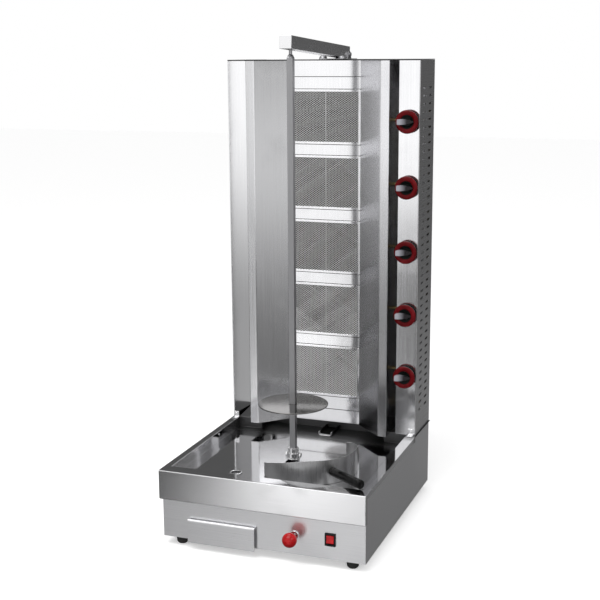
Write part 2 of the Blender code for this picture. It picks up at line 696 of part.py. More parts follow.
def arm_end_cap(steel):
    """The cap pressed into the arm's front end."""
    top = 2 * ARM_HALF - ARM_BELOW
    plug = box((-ARM_HALF, ARM_FRONT, -ARM_BELOW), (ARM_HALF, ARM_FRONT + 0.0016, top))
    cap = make("arm_end_cap", plug, steel)
    fit = SHEET + GAP
    weld(cap, box((-ARM_HALF + fit, ARM_FRONT + 0.001, -ARM_BELOW + fit),
                  (ARM_HALF - fit, ARM_FRONT + 0.0035, top - fit)))
    cap.data.transform(arm_frame())
    return cap


def arm_bracket(steel):
    """The foot on the tower's top: a plate, two ears for the pivot pin and two domed nuts."""
    low = TOWER_TOP + GAP - ARM_PIVOT.z
    high = low + SHEET
    bracket = make("arm_bracket", box((-0.034, -0.080, low), (0.034, 0.015, high)), steel)
    ear = [(-0.012, high - 0.0005)] + [(0.012, high - 0.0005)] + arc((0, 0), 0.009, 0, math.pi, 8)
    for side in (-1, 1):
        near, far = sorted((side * 0.0160, side * 0.0190))
        weld(bracket, prism(ear, near, far, "X"))
        nut = [(0, 0), (0.010, 0), (0.010, 0.0030), (0.0085, 0.0062), (0.0050, 0.0082), (0, 0.0088)]
        weld(bracket, turned(nut, (side * 0.026, -0.070, high - 0.0005), (0, 0, 1), FINE))
    cut(bracket, rod(0.0034, (-0.03, 0, 0), (0.03, 0, 0), FINE))
    bracket.data.transform(Matrix.Translation(ARM_PIVOT) @ Matrix.Rotation(ARM_TURN, 4, "Z"))


def arm_pivot_pin(steel):
    """The pin through the ears and the arm, headed at both ends."""
    head = 0.0194
    end = 0.0225
    profile = [(0, -end), (0.0055, -end), (0.0055, -head), (0.003, -head), (0.003, head), (0.0055, head),
               (0.0055, end), (0, end)]
    pin = make("arm_pivot_pin", turned(profile, (0, 0, 0), (1, 0, 0), FINE), steel, smooth=True)
    pin.data.transform(Matrix.Translation(ARM_PIVOT) @ Matrix.Rotation(ARM_TURN, 4, "Z"))


# ---------------------------------------------------------------- tower

def left_wall(steel):
    """The tower's left side, with a narrow hem in front and a screwed foot."""
    edge = [(-HALF_WIDTH + 0.0035, TOWER_FRONT), (-HALF_WIDTH, TOWER_FRONT), (-HALF_WIDTH, REAR)]
    wall = make("left_wall", prism(folded(edge, -SHEET), TOWER_LOW, WALL_HIGH, "Z"), steel)
    weld(wall, foot_tab(-0.258, -0.244))


def foot_tab(left, right):
    """The small angle that screws a tower panel to the deck's rim."""
    face = TOWER_FRONT + 0.0003
    edge = [(0.148, TOWER_LOW), (face, TOWER_LOW), (face, TOWER_LOW + 0.017)]
    return prism(folded(edge, SHEET), left, right, "X")


def wing_outline(side):
    """The plan of one wing: return flange, front strip and slanting reflector."""
    points = [(STRIP_OUTER, WING_BACK), (STRIP_OUTER, STRIP_Y), (STRIP_INNER, STRIP_Y)]
    run = BURNER_Y - STRIP_Y - GAP - SHEET
    points.append((STRIP_INNER - run, STRIP_Y + run))
    outline = folded(points, -SHEET)
    return [(BAY_X + side * x, y) for x, y in outline]


def wings(polished):
    """The two wings that throw the burners' heat onto the spit."""
    for name, side in (("left_wing", -1), ("right_wing", 1)):
        wing = make(name, prism(wing_outline(side), WING_LOW, WALL_HIGH, "Z"), polished)
        flange = BAY_X + side * STRIP_OUTER
        cut(wing, box((flange - 0.01, WELL_SHOULDER - 0.0015, WING_LOW - 0.01),
                      (flange + 0.01, WING_BACK + 0.01, TOWER_LOW)))


def burner_height(index):
    """The middle of a burner, counted from the top."""
    return TOP_BURNER_Z - index * BURNER_PITCH


def knob_height(index):
    """The axis of a knob, counted from the top."""
    return TOP_KNOB_Z - index * KNOB_PITCH


def burner_frame(polished):
    """The sheet behind the spit, with a window for each burner."""
    outline = rectangle(BAY_X - 0.100, WING_LOW + 0.001, BAY_X + 0.100, WALL_HIGH)
    windows = []
    for index in range(BURNER_COUNT):
        middle = burner_height(index)
        windows.append(rectangle(BAY_X - WINDOW_HALF_WIDTH, middle - WINDOW_HALF_HEIGHT,
                                 BAY_X + WINDOW_HALF_WIDTH, middle + WINDOW_HALF_HEIGHT))
    make("burner_frame", plate(outline, windows, BURNER_Y, BURNER_Y + SHEET, "Y"), polished)


def burners(ceramic, iron):
    """Each burner: a pair of ceramic tiles in the mouth of a gas plenum."""
    groove = 0.001
    for index in range(BURNER_COUNT):
        middle = burner_height(index)
        low = middle - PLAQUE_HALF_HEIGHT
        high = middle + PLAQUE_HALF_HEIGHT
        tiles = [(-PLAQUE_HALF_WIDTH, PLAQUE_FRONT), (-groove, PLAQUE_FRONT), (0, PLAQUE_FRONT + groove),
                 (groove, PLAQUE_FRONT), (PLAQUE_HALF_WIDTH, PLAQUE_FRONT), (PLAQUE_HALF_WIDTH, PLAQUE_BACK),
                 (-PLAQUE_HALF_WIDTH, PLAQUE_BACK)]
        make(f"burner_plaque_{index + 1}", prism([(BAY_X + x, y) for x, y in tiles], low, high, "Z"), ceramic)
        burner_plenum(index, middle, iron)


def burner_plenum(index, middle, iron):
    """The gas box behind one pair of tiles, with a seat for them and a hole for the gas pipe."""
    wall = 0.0028
    seat_width = PLAQUE_HALF_WIDTH + GAP
    seat_height = PLAQUE_HALF_HEIGHT + GAP
    seat_back = PLAQUE_BACK + GAP
    mouth, back = 0.2175, 0.262
    plenum = make(f"burner_plenum_{index + 1}",
                  box((BAY_X - seat_width - wall, mouth, middle - seat_height - wall),
                      (BAY_X + seat_width + wall, back, middle + seat_height + wall)), iron)
    cut(plenum, box((BAY_X - seat_width, mouth - 0.01, middle - seat_height),
                    (BAY_X + seat_width, seat_back, middle + seat_height)))
    ledge = 0.004
    cut(plenum, box((BAY_X - seat_width + ledge, seat_back - 0.001, middle - seat_height + ledge),
                    (BAY_X + seat_width - ledge, back - wall, middle + seat_height - ledge)))
    pipe_z = knob_height(index)
    cut(plenum, rod(0.0060, (BAY_X + 0.080, FEED_Y, pipe_z), (BAY_X + 0.110, FEED_Y, pipe_z), FINE))


def gas_manifold(brass):
    """The gas rail with its five valve bodies, the pipes to the burners and the inlet."""
    pipe = rod(0.011, (KNOB_X, MANIFOLD_Y, 0.222), (KNOB_X, MANIFOLD_Y, 1.050), 14)
    rail = make("gas_manifold", pipe, brass)
    valve = [(0, 0.032), (0.0063, 0.032), (0.0063, 0), (0.012, 0), (0.012, 0.052), (0, 0.052)]
    for index in range(BURNER_COUNT):
        z = knob_height(index)
        weld(rail, turned(valve, (KNOB_X, VALVE_FRONT, z), (0, 1, 0), FINE))
        weld(rail, rod(0.0050, (BAY_X + 0.0925, FEED_Y, z), (KNOB_X - 0.0045, FEED_Y, z), 10))
    start = MANIFOLD_Y + 0.004
    length = INLET_END - start
    bore_end = length - 0.035
    inlet = [(0, 0), (0.009, 0), (0.009, length), (0.0062, length), (0.0062, bore_end), (0, bore_end)]
    weld(rail, turned(inlet, (KNOB_X, start, INLET_Z), (0, 1, 0), FINE))


def control_panel(steel):
    """The panel on the right that the knobs' stems come through."""
    edge = [(CONTROL_LEFT, 0.209), (CONTROL_LEFT, TOWER_FRONT), (HALF_WIDTH - SHEET - GAP, TOWER_FRONT)]
    panel = make("control_panel", prism(folded(edge, SHEET), TOWER_LOW, WALL_HIGH, "Z"), steel)
    for index in range(BURNER_COUNT):
        z = knob_height(index)
        cut(panel, rod(0.0045, (KNOB_X, 0.15, z), (KNOB_X, 0.18, z), FINE))
    weld(panel, foot_tab(0.240, 0.254))


def side_vent_panel(steel):
    """The tower's right side, with two columns of cooling slots."""
    rows, pitch, lowest = 43, 0.020, 0.258
    half_length, half_height = 0.014, 0.0025
    slots = []
    for y in (0.208, 0.265):
        for row in range(rows):
            z = lowest + row * pitch
            slots.append(rectangle(y - half_length, z - half_height, y + half_length, z + half_height))
    outline = rectangle(TOWER_FRONT, TOWER_LOW, REAR, WALL_HIGH)
    make("side_vent_panel", plate(outline, slots, HALF_WIDTH - SHEET, HALF_WIDTH, "X"), steel)


def rear_cover(steel):
    """The tower's back: a shallow pan with slots near the top and a hole for the gas inlet.

    It ends in line with the left wing, so the channel beside the left wall is open at the back.
    """
    left = BAY_X - STRIP_OUTER
    right = HALF_WIDTH - SHEET - GAP
    edge = [(left, REAR - 0.020), (left, REAR), (right, REAR), (right, REAR - 0.020)]
    cover = make("rear_cover", prism(folded(edge, -SHEET), TOWER_LOW, WALL_HIGH, "Z"), steel)
    for x in (-0.120, 0, 0.120):
        for row in range(6):
            z = 1.110 - row * 0.020
            cut(cover, box((x - 0.040, REAR - 0.01, z - 0.003), (x + 0.040, REAR + 0.01, z + 0.003)))
    cut(cover, rod(0.0105, (KNOB_X, REAR - 0.01, INLET_Z), (KNOB_X, REAR + 0.01, INLET_Z), FINE))


def top_cover(steel):
    """The tower's roof, cut to the plan of everything below it."""
    reach = BURNER_Y - STRIP_Y - GAP
    half_bay = [(STRIP_OUTER, TOWER_FRONT), (STRIP_OUTER, STRIP_Y), (STRIP_INNER, STRIP_Y),
                (STRIP_INNER - reach, STRIP_Y + reach)]
    left = [(BAY_X - x, y) for x, y in half_bay]
    right = [(BAY_X + x, y) for x, y in reversed(half_bay)]
    outline = [(-HALF_WIDTH, REAR), (-HALF_WIDTH, TOWER_FRONT), *left, *right,
               (HALF_WIDTH, TOWER_FRONT), (HALF_WIDTH, REAR)]
    make("top_cover", prism(outline, TOWER_TOP - SHEET, TOWER_TOP, "Z"), steel)


# ---------------------------------------------------------------- valves and knobs

def valve_core(index, brass):
    """The part of a gas valve that the knob turns, bored for the knob's stem."""
    front = (KNOB_X, 0.180, knob_height(index))
    profile = [(0, 0.030), (0.0032, 0.030), (0.0032, 0), (0.0055, 0), (0.0055, 0.0405), (0, 0.0405)]
    return make(f"valve_core_{index + 1}", turned(profile, front, (0, 1, 0), FINE), brass, smooth=True)


def burner_knob(index, black):
    """A flat knob with its flange, its finger bar and its stem."""
    front = 0.145
    profile = [(0, 0.0030), (0.0185, 0.0030), (0.0185, 0), (0.0285, 0), (0.0295, 0.0010), (0.0295, 0.0055),
               (0.0265, 0.0065), (0.0275, 0.0135), (0.0028, 0.0135), (0.0028, 0.0530), (0, 0.0530)]
    z = knob_height(index)
    knob = make(f"burner_knob_{index + 1}", turned(profile, (KNOB_X, front, z), (0, 1, 0), ROUND), black,
                smooth=True)
    bar = [(-0.0215, -0.0068), (-0.0215, 0.0068), (0.008, 0.0058), (0.020, 0), (0.008, -0.0058)]
    weld(knob, prism([(KNOB_X + x, z + height) for x, height in bar], 0.129, 0.1485, "Y"))
    return knob


# ---------------------------------------------------------------- assembly

def build():
    """Make every piece, and hang the moving ones on their joints."""
    clear_scene()
    satin = material("satin_steel", (0.62, 0.62, 0.63), 0.35, 1.0)
    polished = material("polished_steel", (0.78, 0.78, 0.79), 0.15, 1.0)
    iron = material("cast_iron", (0.16, 0.16, 0.17), 0.6, 0.6)
    brass = material("brass", (0.72, 0.55, 0.25), 0.35, 1.0)
    black = material("black_plastic", (0.02, 0.02, 0.02), 0.3, 0.0)
    rubber = material("black_rubber", (0.03, 0.03, 0.03), 0.8, 0.0)
    red = material("red_plastic", (0.55, 0.01, 0.01), 0.25, 0.0)
    ceramic = material("ceramic", (0.42, 0.41, 0.39), 0.9, 0.0)

    base_shell(satin)
    base_bottom(satin)
    feet(rubber)
    deck_tray(satin)
    drain_strainer(polished)
    grease_chute(polished)
    carriage_guide(satin)
    rod_bush(brass)
    switch_housing(black)
    cable_gland(black)
    left_wall(polished)
    wings(polished)
    burner_frame(polished)
    burners(ceramic, iron)
    gas_manifold(brass)
    control_panel(polished)
    side_vent_panel(satin)
    rear_cover(satin)
    top_cover(satin)
    arm_bracket(satin)
    arm_pivot_pin(satin)

    pivot("drawer_slide", (DRAWER_LEFT, DRAWER_FACE, 0.026), None, [drip_drawer(satin)])
    pivot("switch_rock", (SWITCH_X, ROCKER_PIVOT_Y, SWITCH_Z), None, [switch_rocker(red)])
    pivot("arm_lift", ARM_PIVOT, None, [top_arm(satin), arm_end_cap(polished)])
    pivot("scoop_lift", GRIP_START, None, [scoop_pan(polished), scoop_grip(black)])

    carriage = pivot("carriage_slide", (ROD_X, BALL_Y, ROD_Z), None,
                     [carriage_plate(satin), gearbox(iron), gear_motor(iron), slide_rod(polished),
                      ball_knob(red)])
    spit = pivot("spit_spin", (BAY_X, SPIT_Y, SOCKET_TOP), carriage,
                 [spit_socket(polished), *clamp_screws(polished), spit_shaft(satin)])
    pivot("disc_slide", (BAY_X, SPIT_Y, DISC_Z), spit, [meat_disc(polished)])

    for index in range(BURNER_COUNT):
        axis = (KNOB_X, TOWER_FRONT, knob_height(index))
        turning = pivot(f"valve_turn_{index + 1}", axis, None, [valve_core(index, brass)])
        pivot(f"knob_press_{index + 1}", axis, turning, [burner_knob(index, black)])


build()
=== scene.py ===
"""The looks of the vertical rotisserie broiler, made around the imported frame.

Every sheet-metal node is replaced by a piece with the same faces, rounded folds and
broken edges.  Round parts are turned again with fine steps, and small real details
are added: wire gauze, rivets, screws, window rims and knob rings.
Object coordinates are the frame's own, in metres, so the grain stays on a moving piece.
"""

import json
import math

import bmesh
import bpy
from mathutils import Matrix, Vector, noise

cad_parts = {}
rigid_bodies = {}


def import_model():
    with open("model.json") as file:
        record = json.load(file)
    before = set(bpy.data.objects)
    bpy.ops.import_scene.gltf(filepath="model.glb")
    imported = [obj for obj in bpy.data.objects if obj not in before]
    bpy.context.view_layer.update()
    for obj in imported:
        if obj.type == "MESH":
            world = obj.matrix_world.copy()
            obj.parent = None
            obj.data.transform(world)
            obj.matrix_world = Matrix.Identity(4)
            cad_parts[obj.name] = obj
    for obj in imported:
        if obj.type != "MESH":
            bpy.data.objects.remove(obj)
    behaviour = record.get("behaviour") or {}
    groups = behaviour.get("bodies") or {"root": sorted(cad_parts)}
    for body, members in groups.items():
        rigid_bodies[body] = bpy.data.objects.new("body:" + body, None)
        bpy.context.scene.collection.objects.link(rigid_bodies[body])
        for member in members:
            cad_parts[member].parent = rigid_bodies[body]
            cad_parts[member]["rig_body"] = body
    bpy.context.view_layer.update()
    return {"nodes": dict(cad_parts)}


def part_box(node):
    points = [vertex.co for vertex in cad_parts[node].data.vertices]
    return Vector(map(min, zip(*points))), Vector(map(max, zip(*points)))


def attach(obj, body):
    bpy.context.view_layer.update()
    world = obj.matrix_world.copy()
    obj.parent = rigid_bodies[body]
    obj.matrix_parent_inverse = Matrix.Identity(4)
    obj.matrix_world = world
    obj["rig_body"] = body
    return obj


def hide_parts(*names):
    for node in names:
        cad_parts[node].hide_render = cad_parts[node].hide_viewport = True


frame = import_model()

NODES = frame["nodes"]

SHEET = 0.0015              # thickness of the folded sheet
FOLD = 0.0016               # outer radius of a fold
BREAK = 0.0003              # rounding of a cut edge
SMOOTH = 64                 # steps round a turned piece
MERGE = 2e-5                # points nearer than this are one point
CARD_TOP = 1.30             # the stage's card reaches this high
BURNERS = range(1, 6)


# ---------------------------------------------------------------- camera, light and stage

CAMERA_PLACE = (0.99446, -2.70422, 1.18269)
CAMERA_YAW = 0.352931       # turned from +Y towards -X
CAMERA_PITCH = 0.207192     # looking down
CAMERA_ROLL = -0.006078
CAMERA_LENS = 70.166


def add_camera():
    """The camera, standing where the picture was taken from."""
    lens = bpy.data.cameras.new("camera")
    lens.lens = CAMERA_LENS
    lens.sensor_width = 36
    camera = bpy.data.objects.new("camera", lens)
    bpy.context.scene.collection.objects.link(camera)
    turn = Matrix.Rotation(CAMERA_YAW, 4, "Z") @ Matrix.Rotation(math.pi / 2 - CAMERA_PITCH, 4, "X")
    camera.matrix_world = Matrix.Translation(CAMERA_PLACE) @ turn @ Matrix.Rotation(CAMERA_ROLL, 4, "Z")
    bpy.context.scene.camera = camera


class Tree:
    """A short way to write a node tree."""

    def __init__(self, tree):
        self.tree = tree
        tree.nodes.clear()

    def node(self, kind, settings=None, **inputs):
        """Add a node.  Inputs are given by name, with _ for a space, as values or as sockets."""
        made = self.tree.nodes.new(kind)
        for name, value in (settings or {}).items():
            setattr(made, name, value)
        for name, value in inputs.items():
            key = int(name[1:]) if name[0] == "i" and name[1:].isdigit() else name.replace("_", " ")
            self.set(made.inputs[key], value)
        return made

    def set(self, socket, value):
        if isinstance(value, bpy.types.NodeSocket):
            self.tree.links.new(value, socket)
        else:
            socket.default_value = value

    def math(self, operation, first, second=0.0, clamp=False):
        made = self.node("ShaderNodeMath", {"operation": operation, "use_clamp": clamp}, i0=first, i1=second)
        return made.outputs[0]

    def mix(self, factor, first, second):
        """Blend two numbers by a factor."""
        made = self.node("ShaderNodeMix", {"data_type": "FLOAT"}, i0=factor, i2=first, i3=second)
        return made.outputs[0]

    def ease(self, value, low, high, start=0.0, end=1.0):
        """Go smoothly from start to end while the value goes from low to high."""
        made = self.node("ShaderNodeMapRange", {"interpolation_type": "SMOOTHSTEP"}, Value=value,
                         From_Min=low, From_Max=high, To_Min=start, To_Max=end)
        return made.outputs[0]


def add_world():
    """A white studio in front, and grey beside and behind it, with white behind the object itself.

    The level follows the direction, with Y towards the back and Z up.  In front it is white, but
    for dark edges at the left and right below eye level, and it is brightest near the floor.
    """
    world = bpy.data.worlds.new("studio")
    world.use_nodes = True
    bpy.context.scene.world = world
    tree = Tree(world.node_tree)
    way = tree.node("ShaderNodeTexCoord").outputs["Generated"]
    x, y, z = tree.node("ShaderNodeSeparateXYZ", Vector=way).outputs
    front = tree.ease(y, -0.42, -0.80)
    low = tree.ease(z, -0.45, -0.90, 1.0, 0.35)
    # the bright band that the base's front mirrors, fading out to the left
    near_floor = tree.math("MULTIPLY", tree.ease(x, -0.44, -0.33, 0, 2.2), tree.ease(x, -0.30, -0.24, 1, 0.8))
    near_floor = tree.math("MULTIPLY", near_floor, tree.ease(z, -0.352, -0.375, 1.0, 0.46))
    # a narrow grey strip for the cut edge at the tower's left
    far_left = tree.math("MULTIPLY", tree.ease(x, -0.390, -0.400), tree.ease(x, -0.450, -0.425))
    upper = tree.mix(far_left, 1.0, 0.35)
    across = tree.mix(tree.ease(z, -0.31, -0.25), near_floor, upper)
    in_front = tree.math("MULTIPLY", tree.math("MULTIPLY", low, across), 1.12)
    # dark screens that the control panel and the left front strip mirror lower down
    right = tree.math("MULTIPLY", tree.ease(x, -0.297, -0.280), tree.ease(z, -0.110, -0.180))
    left = tree.math("MULTIPLY", tree.ease(x, -0.360, -0.374), tree.ease(z, -0.080, -0.180))
    dark = tree.math("ADD", tree.math("MULTIPLY", right, 0.90), tree.math("MULTIPLY", left, 0.92))
    dark = tree.math("MULTIPLY", dark, tree.ease(z, -0.36, -0.33))
    in_front = tree.math("MULTIPLY", in_front, tree.math("SUBTRACT", 1.0, dark))
    # the left wing mirrors what is beside the machine, its right side what is behind
    beside = tree.math("MULTIPLY", tree.ease(z, -0.24, -0.08, 0.17, 0.8), tree.ease(z, -0.07, 0.02, 1, 0.5))
    behind = tree.math("MULTIPLY", tree.ease(z, -0.15, -0.27, 0.12, 0.24), tree.ease(z, -0.3, -0.4, 1, 0.65))
    around = tree.mix(tree.ease(y, 0.2, 0.7), beside, behind)
    level = tree.mix(front, around, in_front)
    level = tree.mix(tree.ease(z, 0.40, 0.9), level, 0.75)
    studio = tree.node("ShaderNodeBackground", Color=(1, 1, 1, 1), Strength=level)
    white = tree.node("ShaderNodeBackground", Color=(1, 1, 1, 1), Strength=1.0)
    seen = tree.node("ShaderNodeLightPath").outputs["Is Camera Ray"]
    mixed = tree.node("ShaderNodeMixShader", Fac=seen, i1=studio.outputs[0], i2=white.outputs[0])
    tree.node("ShaderNodeOutputWorld", Surface=mixed.outputs[0])


def add_light(name, place, aim, size, power):
    """A square soft box."""
    lamp = bpy.data.lights.new(name, "AREA")
    lamp.shape = "SQUARE"
    lamp.size = size
    lamp.energy = power
    light = bpy.data.objects.new(name, lamp)
    light.location = place
    light.rotation_euler = (Vector(aim) - Vector(place)).to_track_quat("-Z", "Y").to_euler()
    bpy.context.scene.collection.objects.link(light)


def add_floor():
    """A wide pale floor that takes the soft shadow of the machine."""
    reach = 14.0
    bm = bmesh.new()
    bmesh.ops.create_grid(bm, x_segments=8, y_segments=8, size=reach)
    floor = new_object("floor", bm, plain("floor_white", (0.90, 0.90, 0.90), 0.9, 0.42))
    floor.location.z = -0.0002
    floor.visible_glossy = False
    floor.visible_diffuse = False


def add_backdrop():
    """A pale card behind the open channel at the left, seen only in the polished wall beside it."""
    made, tree, shader = principled("card_white")
    where = tree.node("ShaderNodeTexCoord").outputs["Object"]
    height = tree.node("ShaderNodeSeparateXYZ", Vector=where).outputs["Z"]
    tree.set(shader.inputs["Base Color"], (0, 0, 0, 1))
    tree.set(shader.inputs["Emission Color"], (1, 1, 1, 1))
    tree.set(shader.inputs["Emission Strength"], tree.ease(height, 0.45, 1.05, 0.36, 1.05))
    sheet = plate(rectangle((-0.245, 0.0), (-0.060, CARD_TOP)), [], 0.400, 0.402, "Y")
    card = new_object("backdrop_card", sheet, made)
    card.visible_camera = False
    card.visible_diffuse = False
    card.visible_shadow = False


# ---------------------------------------------------------------- materials

def principled(name):
    """A new material with its tree and Principled shader."""
    made = bpy.data.materials.new(name)
    made.use_nodes = True
    tree = Tree(made.node_tree)
    shader = tree.node("ShaderNodeBsdfPrincipled")
    tree.node("ShaderNodeOutputMaterial", Surface=shader.outputs[0])
    return made, tree, shader


def plain(name, colour, roughness, glow):
    """One matte colour with a little light of its own, for the stage."""
    made, tree, shader = principled(name)
    tree.set(shader.inputs["Base Color"], (*colour, 1))
    tree.set(shader.inputs["Roughness"], roughness)
    tree.set(shader.inputs["Emission Color"], (1, 1, 1, 1))
    tree.set(shader.inputs["Emission Strength"], glow)
    return made


def clouds(tree, scale, detail=3.0, stretch=(1, 1, 1)):
    """Noise in object coordinates, stretched by a factor along each axis."""
    where = tree.node("ShaderNodeTexCoord").outputs["Object"]
    spread = tree.node("ShaderNodeMapping", Vector=where, Scale=stretch).outputs[0]
    return tree.node("ShaderNodeTexNoise", Vector=spread, Scale=scale, Detail=detail).outputs["Fac"]


def tinted(tree, factor, low, high):
    """A colour between two, by the factor."""
    made = tree.node("ShaderNodeMix", {"data_type": "RGBA"}, Factor=factor)
    tree.set(made.inputs[6], (*low, 1))
    tree.set(made.inputs[7], (*high, 1))
    return made.outputs[2]


def steel(name, tone, roughness, grain, bump, blackening=None, satin=None, darkening_below=None):
    """Stainless steel: fine grain along one axis, faint smears, and broad changes of shine.

    The grain gives how many lines there are in a metre along X, Y and Z.  Blackening darkens it
    along Y: two places and how far; it paints shade under and deep inside things, along with soot.
    Satin is an axis, a place on it, and the roughness below that place.  Downward darkening makes it
    darker towards the bottom: two heights, and the share of the colour left.
    """
    made, tree, shader = principled(name)
    lines = clouds(tree, 1.0, 4.0, grain)
    fine = clouds(tree, 1.0, 2.0, [value * 4 for value in grain])
    smears = clouds(tree, 9.0, 3.0)
    patches = clouds(tree, 2.6, 2.0)
    mixed = tree.math("ADD", tree.math("MULTIPLY", lines, 0.6), tree.math("MULTIPLY", fine, 0.4))
    shade = tree.math("ADD", tree.math("MULTIPLY", mixed, 0.7), tree.math("MULTIPLY", patches, 0.3))
    dark = [value * 0.90 for value in tone]
    light = [min(value * 1.08, 1.0) for value in tone]
    colour = tinted(tree, tree.ease(shade, 0.3, 0.7), dark, light)
    rough = tree.ease(mixed, 0.3, 0.7, roughness * 0.85, roughness * 1.15)
    smudge = tree.ease(smears, 0.52, 0.75, 0.0, 0.05)
    rough = tree.math("ADD", rough, smudge)
    where = tree.node("ShaderNodeTexCoord").outputs["Object"]
    parts = tree.node("ShaderNodeSeparateXYZ", Vector=where).outputs
    if satin:
        axis, place, satin_roughness = satin
        beyond = tree.ease(parts[axis], place, place - 0.002)
        rough = tree.math("ADD", rough, tree.math("MULTIPLY", beyond, satin_roughness - roughness))
    # darker towards the bottom, between two heights
    if darkening_below:
        high, low, left = darkening_below
        darker_below = tree.node("ShaderNodeMix", {"data_type": "RGBA"}, Factor=tree.ease(parts["Z"], high, low))
        tree.set(darker_below.inputs[6], colour)
        tree.set(darker_below.inputs[7], (*[value * left for value in tone], 1))
        colour = darker_below.outputs[2]
    # blacken along Y: painted shade under and deep inside things, with soot
    if blackening:
        start, end, share = blackening
        shade_and_soot = tree.ease(parts["Y"], start, end, 0.0, share)
        mix = tree.node("ShaderNodeMix", {"data_type": "RGBA"}, Factor=shade_and_soot)
        tree.set(mix.inputs[6], colour)
        tree.set(mix.inputs[7], (0.01, 0.01, 0.01, 1))
        colour = mix.outputs[2]
        rough = tree.math("ADD", rough, tree.math("MULTIPLY", shade_and_soot, 0.4))
    tree.set(shader.inputs["Base Color"], colour)
    tree.set(shader.inputs["Metallic"], 1.0)
    tree.set(shader.inputs["Roughness"], rough)
    relief = tree.node("ShaderNodeBump", Strength=bump, Distance=0.0002, Height=mixed).outputs[0]
    tree.set(shader.inputs["Normal"], relief)
    return made


def moulded(name, colour, roughness, coat, grit, specks=1400.0, shine=0.5):
    """Moulded plastic or rubber with a fine skin and slightly worn shine."""
    made, tree, shader = principled(name)
    skin = clouds(tree, specks, 2.0)
    wear = clouds(tree, 45.0, 3.0)
    dark = [value * 0.8 for value in colour]
    light = [min(value * 1.25 + 0.004, 1.0) for value in colour]
    tree.set(shader.inputs["Base Color"], tinted(tree, tree.ease(wear, 0.35, 0.7), dark, light))
    tree.set(shader.inputs["Roughness"], tree.ease(wear, 0.3, 0.7, roughness * 0.85, roughness * 1.25))
    tree.set(shader.inputs["Specular IOR Level"], shine)
    tree.set(shader.inputs["Coat Weight"], coat)
    tree.set(shader.inputs["Coat Roughness"], 0.06)
    relief = tree.node("ShaderNodeBump", Strength=grit, Distance=0.0002, Height=skin).outputs[0]
    tree.set(shader.inputs["Normal"], relief)
    return made


def cast(name, colour, metallic, roughness):
    """Cast or machined metal with a pitted skin."""
    made, tree, shader = principled(name)
    pits = clouds(tree, 900.0, 5.0)
    stains = clouds(tree, 30.0, 3.0)
    dark = [value * 0.65 for value in colour]
    light = [min(value * 1.3, 1.0) for value in colour]
    tree.set(shader.inputs["Base Color"], tinted(tree, tree.ease(stains, 0.3, 0.7), dark, light))
    tree.set(shader.inputs["Metallic"], metallic)
    tree.set(shader.inputs["Roughness"], tree.ease(pits, 0.3, 0.7, roughness * 0.8, roughness * 1.2))
    relief = tree.node("ShaderNodeBump", Strength=0.35, Distance=0.0003, Height=pits).outputs[0]
    tree.set(shader.inputs["Normal"], relief)
    return made


def pierced_ceramic(name):
    """Burner tile: pale ceramic with rows of small dark flame holes."""
    made, tree, shader = principled(name)
    where = tree.node("ShaderNodeTexCoord").outputs["Object"]
    parts = tree.node("ShaderNodeSeparateXYZ", Vector=where).outputs
    pitch = 0.0024
    cells = []
    for axis in ("X", "Z"):
        turns = tree.math("FRACT", tree.math("DIVIDE", tree.math("ADD", parts[axis], 2.0), pitch))
        cells.append(tree.math("SUBTRACT", turns, 0.5))
    squared = [tree.math("MULTIPLY", cell, cell) for cell in cells]
    far = tree.math("SQRT", tree.math("ADD", *squared))
    solid = tree.ease(far, 0.22, 0.32)
    blackening = clouds(tree, 22.0, 4.0)
    clay = tinted(tree, tree.ease(blackening, 0.3, 0.7), (0.045, 0.043, 0.040), (0.085, 0.080, 0.075))
    mixed = tree.node("ShaderNodeMix", {"data_type": "RGBA"}, Factor=solid)
    tree.set(mixed.inputs[6], (0.01, 0.01, 0.01, 1))
    tree.set(mixed.inputs[7], clay)
    tree.set(shader.inputs["Base Color"], mixed.outputs[2])
    tree.set(shader.inputs["Roughness"], 0.85)
    relief = tree.node("ShaderNodeBump", Strength=0.6, Distance=0.0006, Height=solid).outputs[0]
    tree.set(shader.inputs["Normal"], relief)
    return made


GRAIN_X = (6, 1500, 1500)       # lines lie along X
GRAIN_Y = (1500, 6, 1500)
GRAIN_Z = (1500, 1500, 6)
POLISH = (900, 900, 900)        # even, for turned and polished pieces
WIRE_SKIN = (700, 700, 700)

FRONT_STEEL = steel("front_steel", (0.76, 0.76, 0.775), 0.32, GRAIN_X, 0.05)
SIDE_STEEL = steel("side_steel", (0.60, 0.60, 0.61), 0.28, GRAIN_Y, 0.08)
TOWER_STEEL = steel("tower_steel", (0.88, 0.88, 0.895), 0.10, GRAIN_Z, 0.004)
PANEL_STEEL = steel("panel_steel", (0.88, 0.88, 0.895), 0.13, GRAIN_Z, 0.012)
WALL_STEEL = steel("wall_steel", (0.90, 0.90, 0.915), 0.16, GRAIN_Z, 0.012)
LEFT_REFLECTOR = steel("left_reflector", (0.78, 0.78, 0.795), 0.15, GRAIN_Z, 0.008)
# the right wing is darker towards the bottom, from 1.00 m down to 0.45 m
RIGHT_REFLECTOR = steel("right_reflector", (0.84, 0.84, 0.86), 0.22, GRAIN_Z, 0.006, darkening_below=(1.00, 0.45, 0.45))
# the tray blackens towards the back, under the tower: painted shade, with soot
TRAY_STEEL = steel("tray_steel", (0.64, 0.64, 0.65), 0.07, GRAIN_X, 0.02, blackening=(0.105, 0.165, 0.84),
                   satin=("Y", -0.285, 0.16))
BRIGHT_STEEL = steel("bright_steel", (0.82, 0.82, 0.83), 0.09, POLISH, 0.03)
MIRROR_STEEL = steel("mirror_steel", (0.20, 0.195, 0.19), 0.12, POLISH, 0.005)
